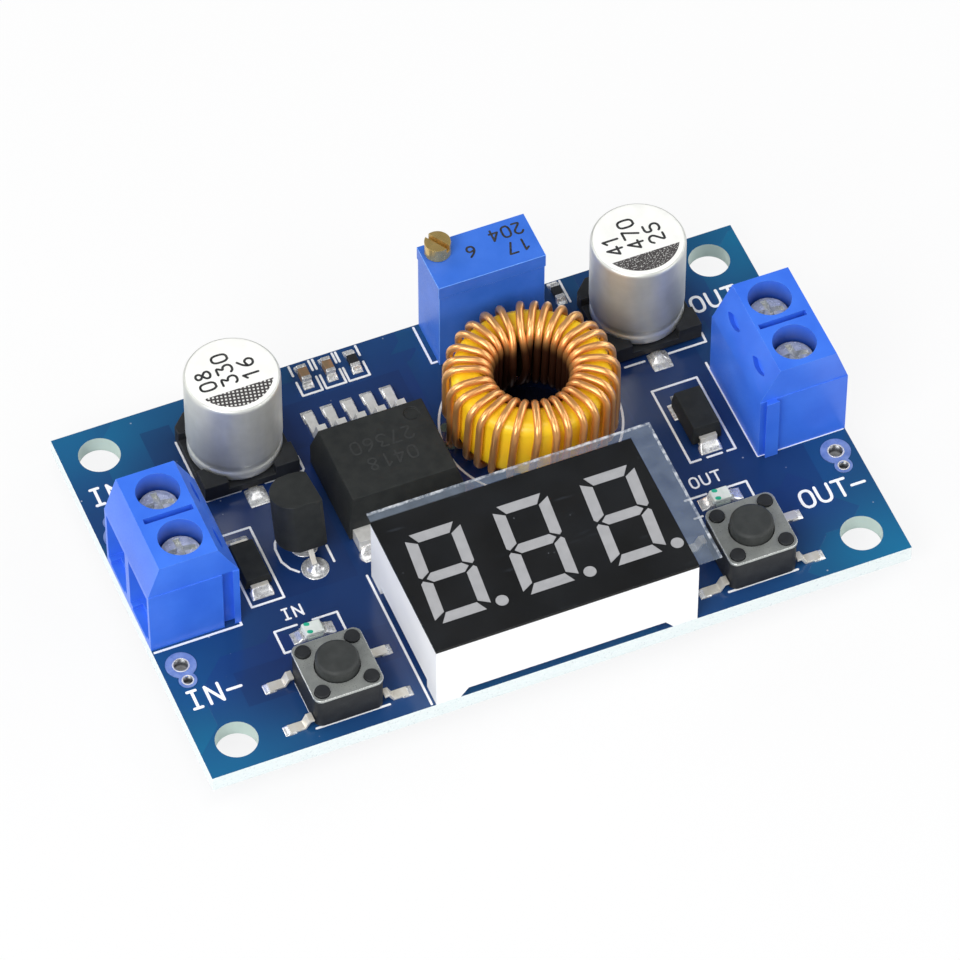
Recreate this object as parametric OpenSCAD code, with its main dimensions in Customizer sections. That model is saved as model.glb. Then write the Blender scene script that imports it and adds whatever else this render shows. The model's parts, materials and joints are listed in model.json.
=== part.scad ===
// Adjustable step-down converter module with a three-digit meter.
// Origin: centre of the board's outline, on the plane that the pin tails stand on. +X runs from the
// input terminal to the output terminal, +Y from the display to the trimmer, +Z up. Millimetres.

/* [Circuit board] */
// Length of the board, from the input end to the output end
board_l = 61; // [59:0.5:68]
// Width of the board
board_w = 37; // [36.5:0.5:42]
// Thickness of the board
board_t = 1.6; // [1:0.1:2.4]
// Length of the pin tails that stand out under the board
tail = 1.5; // [1.3:0.1:2.5]
// Diameter of the four mounting holes
hole_d = 3.5; // [2.5:0.1:4]
// From a mounting hole's centre to the board's end
hole_from_end = 3.2; // [2.6:0.1:3.6]
// From a mounting hole's centre to the board's side
hole_from_side = 2.9; // [2.6:0.1:3.4]
// Diameter of the four holes for soldered wires
wire_hole_d = 1.25; // [0.8:0.05:1.5]
// Width of the tinned ring round a wire hole
wire_ring_w = 0.65; // [0.3:0.05:0.8]

/* [Screw terminals] */
// Distance between the two poles of a terminal
pole_pitch = 5; // [5:0.08:5.4]
// Depth of a terminal, from its wire side to its board side
term_d = 7.8; // [7.6:0.1:8.4]
// Height of a terminal
term_h = 10.2; // [9.8:0.1:12]
// Height of the upright part of a terminal's walls
term_wall_h = 6.9; // [6.7:0.1:7.4]
// Width of the flat top of a terminal
term_top_w = 5; // [4.8:0.1:5.4]
// Diameter of the wells that the screws stand in
well_d = 3.65; // [3.5:0.05:4]
// Width of a wire entry
entry_w = 4.2; // [4.1:0.05:4.4]
// Wall of the bent metal cage in each pole
cage_t = 0.4; // [0.3:0.05:0.5]
// Diameter of a clamping screw's thread
screw_d = 2.5; // [2:0.1:2.6]
// Diameter of a clamping screw's head
head_d = 3.3; // [3:0.05:3.4]
// Height of a clamping screw's head
head_h = 1; // [0.8:0.05:1.2]
// Depth of the screw heads under the terminal's top
head_drop = 1.6; // [1.6:0.1:2.5]
// Diameter of a terminal's solder pins
term_pin_d = 1; // [0.8:0.05:1.2]

/* [Display] */
// Length of the display
disp_l = 22.75; // [22.4:0.05:23.4]
// Depth of the display
disp_w = 14; // [13.6:0.1:14.4]
// Height of the display above the board
disp_h = 7.1; // [6:0.1:9]
// Height of the gap under the display, between its corner feet
disp_lift = 0.9; // [0.5:0.05:1.2]
// Distance between two digits
digit_pitch = 7.6; // [7.2:0.05:7.6]
// Height of a digit
digit_h = 9.2; // [8:0.1:10]
// Width of a digit
digit_w = 4.8; // [4:0.05:5]
// Width of a lit bar of a digit
bar_w = 0.95; // [0.6:0.05:1.1]
// Diameter of a decimal point
point_d = 1.05; // [0.7:0.05:1.2]
// Thickness of the protective film
film_t = 0.1; // [0.06:0.01:0.2]

/* [Inductor] */
// Outer diameter of the ring core
core_od = 13.2; // [12.8:0.1:13.4]
// Inner diameter of the ring core
core_id = 7.7; // [7.6:0.1:8.2]
// Height of the ring core
core_h = 6.3; // [5:0.1:8]
// Diameter of the enamelled wire
wire_d = 0.64; // [0.4:0.02:0.66]
// Number of turns
turns = 30; // [20:1:30]

/* [Capacitors] */
// Diameter of a capacitor's can
can_d = 8; // [7.6:0.1:8.2]
// Height of a capacitor above the board
can_h = 10.2; // [6:0.1:12.5]
// Side of a capacitor's square base
cap_base = 8.3; // [8.1:0.1:8.6]

/* [Trimmer] */
// Length of the trimmer
trim_l = 9.53; // [9:0.1:10.5]
// Width of the trimmer
trim_w = 4.83; // [4.6:0.05:5.2]
// Height of the trimmer
trim_h = 10.03; // [9:0.1:12]
// Diameter of the adjusting screw's head
adjuster_d = 2.2; // [1.8:0.05:2.4]
// Height of the adjusting screw's head above the trimmer
adjuster_rise = 1.4; // [0.8:0.05:1.8]

/* [Push buttons] */
// Side of a push button's square case
switch_s = 6; // [5.8:0.05:6.4]
// Height of the case, with its metal cover
switch_h = 3.5; // [3.3:0.05:4.2]
// Diameter of the plunger
plunger_d = 3.6; // [3:0.05:3.7]
// Height of the plunger's top above the board
plunger_top = 4.6; // [4.4:0.1:9]
// How far the plunger travels
plunger_travel = 0.25; // [0.15:0.01:0.3]

/* [Power parts] */
// Width of the converter chip's body
chip_w = 10.2; // [9.6:0.1:10.4]
// Depth of the converter chip's body
chip_d = 8.8; // [8.4:0.1:9.2]
// Height of the converter chip
chip_h = 4.5; // [4.2:0.1:4.9]
// Distance between the converter chip's leads
chip_pitch = 1.75; // [1.5:0.05:1.8]
// Diameter of the small regulator's rounded side
reg_d = 4.7; // [4.4:0.1:5]
// Height of the small regulator's body
reg_h = 4.9; // [4.4:0.1:5.4]
// Height of the input diode
diode_in_h = 1.15; // [0.9:0.05:1.4]
// Height of the output diode
diode_out_h = 2.1; // [1.8:0.05:2.4]

/* [Hidden] */
$fn = 48;

board_top = tail + board_t;
running_gap = 0.05;      // between a turning or sliding piece and what guides it
seat_gap = 0.02;         // between two pieces that are fixed to each other
pin_hole_gap = 0.15;     // round a pin in its hole in the board

// Places on the board. Pieces that stand in one row share out the room that their widths leave.
function sum_of(list) = len(list) == 0 ? 0 : [for (v = list) v] * [for (v = list) 1];
function first(list, n) = n == 0 ? [] : [for (k = [0:n - 1]) list[k]];
// Middle of piece k in a row that starts at start: gaps holds each gap's share of the room left over.
function in_row(k, start, room, widths, gaps) = start + sum_of(first(widths, k)) + widths[k] / 2
    + (room - sum_of(widths)) * sum_of(first(gaps, k + 1));

term_x = board_l / 2 - term_d / 2;
term_l = 2 * pole_pitch;
input_term_y = 0.2;
output_term_y = -0.1;
pad_x = board_l / 2 - 1.7;
pad_y = term_l / 2 + 2.05;
via_y = pad_y + wire_hole_d / 2 + wire_ring_w + 0.33;
via_d = 0.85;
via_ring_w = 0.33;
disp_at = [0.1, -board_w / 2 + disp_w / 2];
disp_back = -board_w / 2 + disp_w;
disp_pin_d = 0.5;
disp_pin_pitch = 2.54;
disp_row_gap = 10.16;

// Middle row, between the terminals: input diode, regulator, chip, inductor, output diode.
wire_gap = 0.12;         // between the wire and the core
coil_d = core_od + 2 * (wire_d + wire_gap);
diode_in_w = 2.3;
diode_out_w = 2.6;
reg_flat_x = 1.4;        // from the regulator's axis to its flat side
reg_w = reg_d / 2 + reg_flat_x;
mid_widths = [diode_in_w, reg_w, chip_w, coil_d, diode_out_w];
mid_gaps = [0.12, 0.12, 0.19, 0.07, 0.33];
function mid_x(k) = in_row(k, -board_l / 2 + term_d, board_l - 2 * term_d, mid_widths, mid_gaps);
diode_in_at = [mid_x(0), 0];
reg_at = [mid_x(1) - reg_w / 2 + reg_d / 2, 0.45];
reg_pin_pitch = 2.5;
reg_lift = 1.1;
diode_out_at = [mid_x(4), 0.05];

// Rows along Y: display, inductor and trimmer; and display, chip and the small parts at the back.
part_l = 1.6;            // a small chip part
small_y = board_w / 2 - 1.7;
chip_lead_reach = 4.6;   // from the body to the end of the foot
chip_tab_reach = 1.4;
chip_pad_reach = 1.1;    // solder in front of the tab
core_at = [mid_x(3), in_row(0, disp_back, board_w - disp_w - trim_w, [coil_d], [0.71])];
trim_at = [core_at.x, board_w / 2 - trim_w / 2];
trim_pin_d = 0.5;
trim_pin_pitch = 2.54;
chip_front = chip_tab_reach + chip_pad_reach;
chip_at = [mid_x(2), in_row(0, disp_back, small_y - part_l / 2 - 0.35 - disp_back,
    [chip_front + chip_d + chip_lead_reach + 0.5], [0.4]) + (chip_front - chip_lead_reach - 0.5) / 2];

// Capacitors, between the board's ends and the chip's leads or the inductor.
chip_lead_w = 0.8;
cap_in_room = board_l / 2 + chip_at.x - 2 * chip_pitch - chip_lead_w / 2;
cap_in_at = [in_row(0, -board_l / 2, cap_in_room, [cap_base], [0.8]), board_w / 2 - 6.85];
cap_out_room = board_l / 2 - core_at.x - coil_d / 2;
cap_out_at = [-in_row(0, -board_l / 2, cap_out_room, [cap_base], [0.89]), board_w / 2 - 6.25];

// Push buttons, between the board's ends and the display.
leg_reach = 2.1;         // from a push button's case to the end of a foot
switch_x = -in_row(0, -board_l / 2, (board_l - disp_l) / 2, [switch_s + 2 * leg_reach], [0.825]);
switch_in_at = [-switch_x, -board_w / 2 + 4.35];
switch_out_at = [switch_x, -board_w / 2 + 4.35];
led_in_at = [-switch_x + 0.25, -board_w / 2 + 10.45];
led_out_at = [switch_x, -board_w / 2 + 10.45];
capacitors_at = [[chip_at.x - 2.3, small_y], [chip_at.x - 0.15, small_y]];
resistors_at = [[chip_at.x + 2.05, small_y], [cap_out_at.x - cap_base / 2 - 0.97, board_w / 2 - 1.4]];
driver_at = [disp_at.x, disp_at.y];
under_parts_at = [
    [-12.5, disp_back - 5], [-12.5, disp_back - 9], [12.7, disp_back - 5], [12.7, disp_back - 9],
    [-2.5, 11], [0.5, 14], [diode_out_at.x - 4, 3], [chip_at.x - 3.5, -1]];

module on_board(at) translate([at.x, at.y, board_top]) children();
// A bar of square section between x0 and x1, y0 and y1, z0 and z1.
module block(x0, x1, y0, y1, z0, z1) translate([x0, y0, z0]) cube([x1 - x0, y1 - y0, z1 - z0]);
// A profile drawn in X and Z, carried along Y and centred on it.
module carried_along_y(length) rotate([90, 0, 0]) linear_extrude(length, center = true) children();

// ---- Every pin that goes through the board: [x, y, diameter] ----
coil_lead_r = core_od / 2 + wire_d / 2 + wire_gap;
coil_gap_angle = 15;     // the arc that the winding leaves free
coil_gap_middle = 170;   // its direction, round from +X
function coil_lead(side) = [
    core_at.x + coil_lead_r * cos(coil_gap_middle + side * coil_gap_angle / 2),
    core_at.y + coil_lead_r * sin(coil_gap_middle + side * coil_gap_angle / 2), wire_d];
term_pins = [for (p = [-1, 1]) each [
    [-term_x, input_term_y + p * pole_pitch / 2, term_pin_d],
    [term_x, output_term_y + p * pole_pitch / 2, term_pin_d]]];
disp_pins = [for (row = [-1, 1], i = [-2.5:2.5])
    [disp_at.x + i * disp_pin_pitch, disp_at.y + row * disp_row_gap / 2, disp_pin_d]];
trim_pins = [for (i = [-1:1]) [trim_at.x + i * trim_pin_pitch, trim_at.y - 0.6 + abs(i) * 1.2, trim_pin_d]];
reg_pin_d = 0.62;        // across the corners of the square lead
reg_pins = [for (i = [-1:1]) [reg_at.x, reg_at.y + i * reg_pin_pitch, reg_pin_d]];
coil_pins = [coil_lead(-1), coil_lead(1)];
all_pins = concat(term_pins, disp_pins, trim_pins, reg_pins, coil_pins);
wire_pads_at = [for (sx = [-1, 1], sy = [-1, 1]) [sx * pad_x, sy * pad_y]];
vias_at = [for (sx = [-1, 1], sy = [-1, 1]) [sx * pad_x, sy * via_y]];

// ---- Circuit board ----
module circuit_board() color("darkblue") difference() {
    translate([-board_l / 2, -board_w / 2, tail]) cube([board_l, board_w, board_t]);
    for (sx = [-1, 1], sy = [-1, 1])
        through_hole([sx * (board_l / 2 - hole_from_end), sy * (board_w / 2 - hole_from_side)], hole_d);
    for (p = wire_pads_at) through_hole(p, wire_hole_d);
    for (p = vias_at) through_hole(p, via_d);
    for (p = all_pins) through_hole(p, p[2] + 2 * pin_hole_gap);
}
module through_hole(at, d) translate([at.x, at.y, tail - 1]) cylinder(h = board_t + 2, d = d);

module ring(at, z, inner_d, outer_d, h) translate([at.x, at.y, z]) difference() {
    cylinder(h = h, d = outer_d);
    translate([0, 0, -1]) cylinder(h = h + 2, d = inner_d);
}
pad_t = 0.06;
module wire_pads() color("silver") for (side = [tail - pad_t, board_top]) {
    for (p = wire_pads_at) ring(p, side, wire_hole_d, wire_hole_d + 2 * wire_ring_w, pad_t);
    for (p = vias_at) ring(p, side, via_d, via_d + 2 * via_ring_w, pad_t);
}

// ---- Screw terminals: +X is the wire side, poles along Y ----
cage_l = 4;                          // along the wire
cage_x = 0.1;                        // middle of the cage, and of its screw
cage_z = 1.2;                        // underside of the cage
plate_t = 0.9;                       // its threaded top plate
screw_down = 1;                      // travel down to the closed clamp
screw_up = 1.5;                      // travel up to the open clamp
head_top = term_h - head_drop;
bare_shank = 1;                      // shank that still shows under the head of a closed clamp
cage_top = head_top - head_h - screw_down - bare_shank;
guard_t = 0.4;
guard_top = cage_top - plate_t - screw_up - running_gap;
cage_w = entry_w - 0.1;
rib_x = -2.9;                        // place of the joining rib and groove
rib_w = 0.8;
rib_rise = 0.4;
rib_flare = 0.18;
term_step = 0.08;                    // the roof stands this far in from each end wall

module terminal_outline() polygon([
    [-term_d / 2, 0], [term_d / 2, 0], [term_d / 2, term_wall_h],
    [term_top_w / 2 + 0.3, term_h], [-term_top_w / 2 + 0.3, term_h], [-term_d / 2, term_wall_h]]);
module dovetail(w, rise) linear_extrude(term_wall_h) polygon([
    [-w / 2, -0.5], [-w / 2, 0], [-w / 2 - rib_flare, rise],
    [w / 2 + rib_flare, rise], [w / 2, 0], [w / 2, -0.5]]);
module lens(length, width) {
    r = (length * length + width * width) / (4 * width);
    intersection() {
        translate([0, r - width / 2]) circle(r, $fn = 96);
        translate([0, width / 2 - r]) circle(r, $fn = 96);
    }
}
module terminal_housing() color("royalblue") {
    slope = atan2(term_h - term_wall_h, (term_d - term_top_w) / 2 + 0.3);
    difference() {
        union() {
            carried_along_y(term_l - 2 * term_step) terminal_outline();
            intersection() {
                carried_along_y(term_l) terminal_outline();
                cube([2 * term_d, 2 * term_l, 2 * term_wall_h], center = true);
            }
            translate([rib_x, -term_l / 2, 0]) mirror([0, 1, 0]) dovetail(rib_w, rib_rise);
        }
        translate([rib_x, term_l / 2, -0.01]) mirror([0, 1, 0])
            linear_extrude(term_wall_h + 0.02) polygon([
                [-rib_w / 2 - 0.05, -0.01], [-rib_w / 2 - rib_flare - 0.05, rib_rise + 0.1],
                [rib_w / 2 + rib_flare + 0.05, rib_rise + 0.1], [rib_w / 2 + 0.05, -0.01]]);
        for (side = [-1, 1]) translate([cage_x, side * pole_pitch / 2, 0]) {
            translate([0, 0, cage_z]) cylinder(h = term_h, d = well_d);
            block(-cage_l / 2 - 0.05, term_d, -entry_w / 2, entry_w / 2, cage_z - 0.05, cage_top + 0.05);
            block(cage_l / 2 + 0.2, term_d, -entry_w / 2, entry_w / 2, cage_z - 0.3, term_wall_h - 0.5);
            block(cage_l / 2 + 0.9, term_d, -entry_w / 2 + 0.5, entry_w / 2 - 0.5, 0.5, cage_z);
            translate([-cage_x, 0, -1]) cylinder(h = cage_z + 1, d = term_pin_d + 0.1);
            translate([-cage_x - (term_d + term_top_w) / 4 + 0.15, 0, (term_h + term_wall_h) / 2])
                rotate([0, -slope, 0]) translate([0, 0, -0.5]) linear_extrude(1.5) rotate(90) lens(2.4, 0.85);
        }
        block(-1.95, 2.25, -0.27, 0.27, term_h - 1.2, term_h + 1);
    }
}
module terminal_contacts() color("silver") for (side = [-1, 1])
    translate([cage_x, side * pole_pitch / 2, 0]) {
        difference() {
            block(-cage_l / 2, cage_l / 2, -cage_w / 2, cage_w / 2, cage_z, cage_top);
            block(-cage_l, cage_l, -cage_w / 2 + cage_t, cage_w / 2 - cage_t,
                cage_z + cage_t, cage_top - plate_t);
            cylinder(h = term_h, d = screw_d + 2 * running_gap);
        }
        translate([-cage_x, 0, -board_top]) cylinder(h = board_top + cage_z, d = term_pin_d);
    }
module clamp_screw() color("gainsboro") translate([cage_x, 0, head_top]) {
    difference() {
        union() {
            // A domed head: a disc under a flat cap of a sphere.
            translate([0, 0, -head_h]) cylinder(h = head_h * 0.6, d = head_d);
            intersection() {
                translate([0, 0, -head_h * 0.4 - 0.01]) cylinder(h = head_h, d = head_d);
                translate([0, 0, -dome_r()]) sphere(dome_r());
            }
            translate([0, 0, guard_top + seat_gap - head_top])
                cylinder(h = head_top - guard_top - seat_gap - head_h / 2, d = screw_d);
        }
        translate([0, 0, -0.25]) cube([0.5, head_d - 0.7, 1.1], center = true);
        translate([0, 0, -0.25]) cube([head_d - 0.7, 0.5, 1.1], center = true);
    }
}
// Radius of the dome that falls head_h * 0.4 from the middle of the head to its rim.
function dome_r() = (pow(head_d / 2, 2) + pow(head_h * 0.4, 2)) / (2 * head_h * 0.4);
module wire_guard() color("silver") translate([cage_x, 0, guard_top - guard_t])
    difference() {
        guard_w = cage_w - 2 * cage_t - 0.2;
        block(-cage_l / 2 + 0.1, cage_l / 2 + 0.2, -guard_w / 2, guard_w / 2, 0, guard_t);
        // Two serrations that bite the wire.
        for (x = [-0.6, 0.6]) translate([x, 0, 0]) rotate([0, 45, 0]) cube([0.2, guard_w + 1, 0.2], center = true);
    }

module at_input_pole(side)
    translate([-term_x, input_term_y + side * pole_pitch / 2, board_top]) rotate(180) children();
module at_output_pole(side)
    translate([term_x, output_term_y + side * pole_pitch / 2, board_top]) children();
module at_input_terminal() translate([-term_x, input_term_y, board_top]) rotate(180) children();
module at_output_terminal() translate([term_x, output_term_y, board_top]) children();

module input_terminal_housing() at_input_terminal() terminal_housing();
module input_terminal_contacts() at_input_terminal() terminal_contacts();
module output_terminal_housing() at_output_terminal() terminal_housing();
module output_terminal_contacts() at_output_terminal() terminal_contacts();
module input_plus_screw() at_input_pole(1) clamp_screw();
module input_minus_screw() at_input_pole(-1) clamp_screw();
module output_plus_screw() at_output_pole(1) clamp_screw();
module output_minus_screw() at_output_pole(-1) clamp_screw();
module input_plus_wire_guard() at_input_pole(1) wire_guard();
module input_minus_wire_guard() at_input_pole(-1) wire_guard();
module output_plus_wire_guard() at_output_pole(1) wire_guard();
module output_minus_wire_guard() at_output_pole(-1) wire_guard();

// ---- Display ----
face_t = 0.3;            // thickness of the dark front
bar_depth = 1.2;         // how deep the clear bars reach into the housing
foot_l = 2.1;            // a corner foot, along X
foot_w = 2;              // and along Y
slant = tan(5);          // the digits lean this much for each millimetre of height
function lean(points, at) = [for (p = points) [p.x + p.y * slant + at.x, p.y + at.y]];
function turned(points) = [for (p = points) [-p.x, -p.y]];
// The bars of one digit, as outlines round its middle: four at the sides, two at the ends, one across.
function digit_bars() = let (
        w = digit_w / 2, h = digit_h / 2, b = bar_w, g = 0.12, m = 0.5,
        top = [[-w + m, h], [w - m, h], [w - b - g, h - b], [-w + b + g, h - b]],
        upper_left = [[-w, h - m], [-w + b, h - b - g], [-w + b, b / 2 + g], [-w + b / 4, g], [-w, g + b / 4]],
        upper_right = [for (p = upper_left) [-p.x, p.y]],
        across = [[-w + b / 2 + g, 0], [-w + b + g, b / 2], [w - b - g, b / 2], [w - b / 2 - g, 0],
            [w - b - g, -b / 2], [-w + b + g, -b / 2]])
    [top, upper_left, upper_right, across, turned(top), turned(upper_left), turned(upper_right)];
digits_x = 0.08;         // the digits stand a hair right of the display's middle
module digits_outline(grow) for (i = [-1:1]) {
    at = [digits_x + i * digit_pitch, 0];
    for (bar = digit_bars()) offset_bar(lean(bar, at), grow);
    translate([at.x + digit_w / 2 + 0.55, -digit_h / 2 + point_d / 3]) circle(d = point_d + 2 * grow, $fn = 24);
}
// Moves each corner of an outline away from the outline's middle.
module offset_bar(points, grow) {
    n = len(points);
    middle = [for (k = [0, 1]) [for (p = points) p[k]] * [for (p = points) 1] / n];
    polygon([for (p = points) p + grow * (p - middle) / norm(p - middle)]);
}
module display_block(z0, z1) translate([-disp_l / 2, -disp_w / 2, z0]) cube([disp_l, disp_w, z1 - z0]);
module display_housing() color("whitesmoke") on_board(disp_at) difference() {
    display_block(0, disp_h - face_t);
    // The gaps between the feet, with sloping ends.
    carried_along_y(disp_w + 1) polygon([
        [-disp_l / 2 + foot_l, -1], [disp_l / 2 - foot_l, -1], [disp_l / 2 - foot_l, 0],
        [disp_l / 2 - foot_l - 0.7, disp_lift], [-disp_l / 2 + foot_l + 0.7, disp_lift], [-disp_l / 2 + foot_l, 0]]);
    rotate(90) carried_along_y(disp_l + 1) polygon([
        [-disp_w / 2 + foot_w, -1], [disp_w / 2 - foot_w, -1], [disp_w / 2 - foot_w, disp_lift],
        [-disp_w / 2 + foot_w, disp_lift]]);
    translate([0, 0, disp_h - bar_depth - seat_gap]) linear_extrude(bar_depth) digits_outline(seat_gap);
}
module display_face() color("#202226") on_board(disp_at) difference() {
    display_block(disp_h - face_t + 0.005, disp_h);
    translate([0, 0, disp_h - bar_depth]) linear_extrude(bar_depth + 1) digits_outline(seat_gap);
}
module display_segments() color("silver") on_board(disp_at)
    translate([0, 0, disp_h - bar_depth]) linear_extrude(bar_depth) digits_outline(0);
module display_pins() color("silver") for (p = disp_pins)
    translate([p.x, p.y, 0]) cylinder(h = board_top + disp_lift, d = p[2], $fn = 24);
film_over_back = 0.9;
film_over_end = 2;
module display_film() color("white", 0.3) on_board(disp_at)
    translate([-disp_l / 2, -disp_w / 2, disp_h + 0.01])
        cube([disp_l + film_over_end, disp_w + film_over_back, film_t]);

// ---- Inductor: a ring core, and one wire wound round it ----
core_lift = wire_d + wire_gap + 0.12;
core_edge = 0.9;                               // radius of the core's rounded edges
core_mid_r = (core_od + core_id) / 4;
core_half_w = (core_od - core_id) / 4;
core_mid_z = core_lift + core_h / 2;
module inductor_core() color("gold") on_board(core_at) translate([0, 0, core_lift])
    rotate_extrude($fn = 96) translate([core_mid_r - core_half_w, 0]) rounded_rectangle(2 * core_half_w, core_h, core_edge);
module rounded_rectangle(w, h, r) {
    translate([r, 0]) square([w - 2 * r, h]);
    translate([0, r]) square([w, h - 2 * r]);
    for (x = [r, w - r], y = [r, h - r]) translate([x, y]) circle(r, $fn = 32);
}
// The wire goes round the core's section in 12 steps a turn: three at each rounded edge.
// Corner 0 is outer top, 1 inner top, 2 inner bottom, 3 outer bottom.
steps = 12;
wire_sides = 8;
edge_path_r = core_edge + wire_d / 2 + wire_gap;
function corner_sign_r(c) = c == 0 || c == 3 ? 1 : -1;
function corner_sign_z(c) = c < 2 ? 1 : -1;
function section_angle(j) = floor(j / 3) * 90 + (j % 3) * 45;
function section_r(j) = core_mid_r + corner_sign_r(floor(j / 3)) * (core_half_w - core_edge)
    + edge_path_r * cos(section_angle(j));
function section_z(j) = core_mid_z + corner_sign_z(floor(j / 3)) * (core_h / 2 - core_edge)
    + edge_path_r * sin(section_angle(j));
path_in_r = core_mid_r - core_half_w - wire_d / 2 - wire_gap;
path_out_r = coil_lead_r;
coil_start = coil_gap_middle + coil_gap_angle / 2;
coil_arc = 360 - coil_gap_angle;
// Hand winding: turns lie side by side in the hole, and spread unevenly round the outside.
function spread(angle) = 2.2 * sin(3 * angle + 20) + 1.5 * sin(7 * angle + 110) + 0.8 * sin(13 * angle);
function coil_angle(n) = let (
        a = coil_start + coil_arc * n / (turns * steps),
        outer = (section_r(n % steps) - path_in_r) / (path_out_r - path_in_r),
        taper = min(1, n / steps, (turns * steps - n) / steps))
    a + outer * taper * spread(a);
function on_ring(angle, r, z) = [r * cos(angle), r * sin(angle), z];
coil_points = [for (n = [0:turns * steps - 4]) on_ring(coil_angle(n), section_r(n % steps), section_z(n % steps))];
coil_normals = [for (n = [0:turns * steps - 4])
    on_ring(coil_angle(n), cos(section_angle(n % steps)), sin(section_angle(n % steps)))];
coil_end = coil_gap_middle - coil_gap_angle / 2;
under_z = core_lift - wire_d / 2 - wire_gap;
lead_in = [on_ring(coil_start, coil_lead_r, -board_top), on_ring(coil_start, coil_lead_r, core_lift + core_edge)];
lead_out = [for (q = [[coil_lead_r - 0.5, under_z], [coil_lead_r - 0.15, under_z - 0.12], [coil_lead_r, under_z - 0.45],
    [coil_lead_r, -board_top]]) on_ring(coil_end, q[0], q[1])];
wire_path = concat(lead_in, coil_points, lead_out);
wire_normals = concat(
    [for (p = lead_in) on_ring(coil_start, 1, 0)], coil_normals,
    [for (a = [-90, -45, 0, 0]) on_ring(coil_end, cos(a), sin(a))]);
function unit(v) = v / norm(v);
function tangent(i) = unit(wire_path[min(i + 1, len(wire_path) - 1)] - wire_path[max(i - 1, 0)]);
function wire_ring_points(i) = let (
        t = tangent(i), u = unit(wire_normals[i] - (wire_normals[i] * t) * t), v = cross(t, u))
    [for (k = [0:wire_sides - 1]) let (a = 360 * k / wire_sides)
        wire_path[i] + wire_d / 2 * (cos(a) * u + sin(a) * v)];
module inductor_winding() color("chocolate") on_board(core_at) {
    rings = len(wire_path);
    polyhedron(
        points = [for (i = [0:rings - 1]) each wire_ring_points(i)],
        faces = concat(
            [[for (k = [0:wire_sides - 1]) k]],
            [for (i = [0:rings - 2], k = [0:wire_sides - 1]) let (
                    a = i * wire_sides + k, b = i * wire_sides + (k + 1) % wire_sides)
                each [[a, b + wire_sides, b], [a, a + wire_sides, b + wire_sides]]],
            [[for (k = [wire_sides - 1:-1:0]) (rings - 1) * wire_sides + k]]));
}

// ---- Capacitors ----
can_z = 1;               // underside of the can, on the base plate
module capacitor_can() color("gainsboro") rotate_extrude($fn = 72) {
    r = can_d / 2;
    neck = r - 0.4;
    edge = 0.5;
    // Lower lip, rolled neck, tall wall and rounded top edge.
    translate([0, can_z + seat_gap]) square([neck, can_h - can_z - seat_gap - edge]);
    translate([0, can_h - edge - 0.01]) square([r - edge, edge + 0.01]);
    translate([0, can_z + seat_gap]) square([r - 0.05, 0.9]);
    translate([neck - 0.01, can_z + 0.9]) polygon([[0, 0], [0.33, 0], [0, 0.35]]);
    translate([neck - 0.01, can_z + 1.5]) polygon([[0, 0], [0.41, 0.5], [0, 0.5]]);
    translate([0, can_z + 2]) square([r, can_h - can_z - 2 - edge]);
    translate([r - edge, can_h - edge]) intersection() {
        circle(edge, $fn = 48);
        square(edge);
    }
}
lug_w = 2.1;             // a corner lug of the base, along each side
module capacitor_base() color("#26282c") {
    s = cap_base / 2;
    cut = 1.2;
    intersection() {
        union() {
            translate([0, 0, 0.22]) linear_extrude(can_z - 0.22) square(cap_base, center = true);
            difference() {
                translate([0, 0, 0.22]) linear_extrude(1.7) square(cap_base, center = true);
                translate([0, 0, can_z]) cylinder(h = 3, d = can_d + 0.06, $fn = 72);
                for (a = [0, 90]) rotate(a) translate([0, 0, can_z + 1])
                    cube([cap_base - 2 * lug_w, cap_base + 1, 2], center = true);
            }
        }
        // Two corners are cut off, to show the polarity.
        linear_extrude(5) polygon([[-s, -s], [s, -s], [s, s - cut], [s - cut, s], [-s + cut, s], [-s, s - cut]]);
    }
}
cap_lead_w = 0.75;
cap_lead_reach = 0.7;    // past the base
module capacitor_leads() color("silver") for (side = [-1, 1])
    translate([-cap_lead_w / 2, side > 0 ? 1 : -cap_base / 2 - cap_lead_reach, seat_gap])
        cube([cap_lead_w, cap_base / 2 + cap_lead_reach - 1, 0.18]);
module input_capacitor_can() on_board(cap_in_at) capacitor_can();
module input_capacitor_base() on_board(cap_in_at) capacitor_base();
module input_capacitor_leads() on_board(cap_in_at) capacitor_leads();
module output_capacitor_can() on_board(cap_out_at) capacitor_can();
module output_capacitor_base() on_board(cap_out_at) capacitor_base();
module output_capacitor_leads() on_board(cap_out_at) capacitor_leads();

// ---- Trimmer ----
trim_lift = 0.5;
adjuster_at = [-trim_l / 2 + 1.4, trim_w / 2 - 1.15];
adjuster_shaft_d = 1.5;
adjuster_shaft_l = 3;
adjuster_slot_turn = -58;
adjuster_slot_w = 0.42;
adjuster_slot_depth = 0.6;
trim_lid_h = 1.4;
trim_lid_step = 0.07;     // the lid stands this far over the walls
module trimmer_housing() color("#2a62b8") on_board(trim_at) difference() {
    union() {
        block(-trim_l / 2, trim_l / 2, -trim_w / 2, trim_w / 2, trim_h - trim_lid_h, trim_h);
        block(-trim_l / 2 + trim_lid_step, trim_l / 2 - trim_lid_step, -trim_w / 2 + trim_lid_step,
            trim_w / 2 - trim_lid_step, 0, trim_h - trim_lid_h);
    }
    // Two feet stay along the ends.
    translate([-trim_l / 2 + 1.1, -trim_w / 2 - 1, -1]) cube([trim_l - 2.2, trim_w + 2, trim_lift + 1]);
    translate([adjuster_at.x, adjuster_at.y, trim_h - adjuster_shaft_l - 0.1])
        cylinder(h = adjuster_shaft_l + 1, d = adjuster_shaft_d + 2 * running_gap);
}
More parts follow.
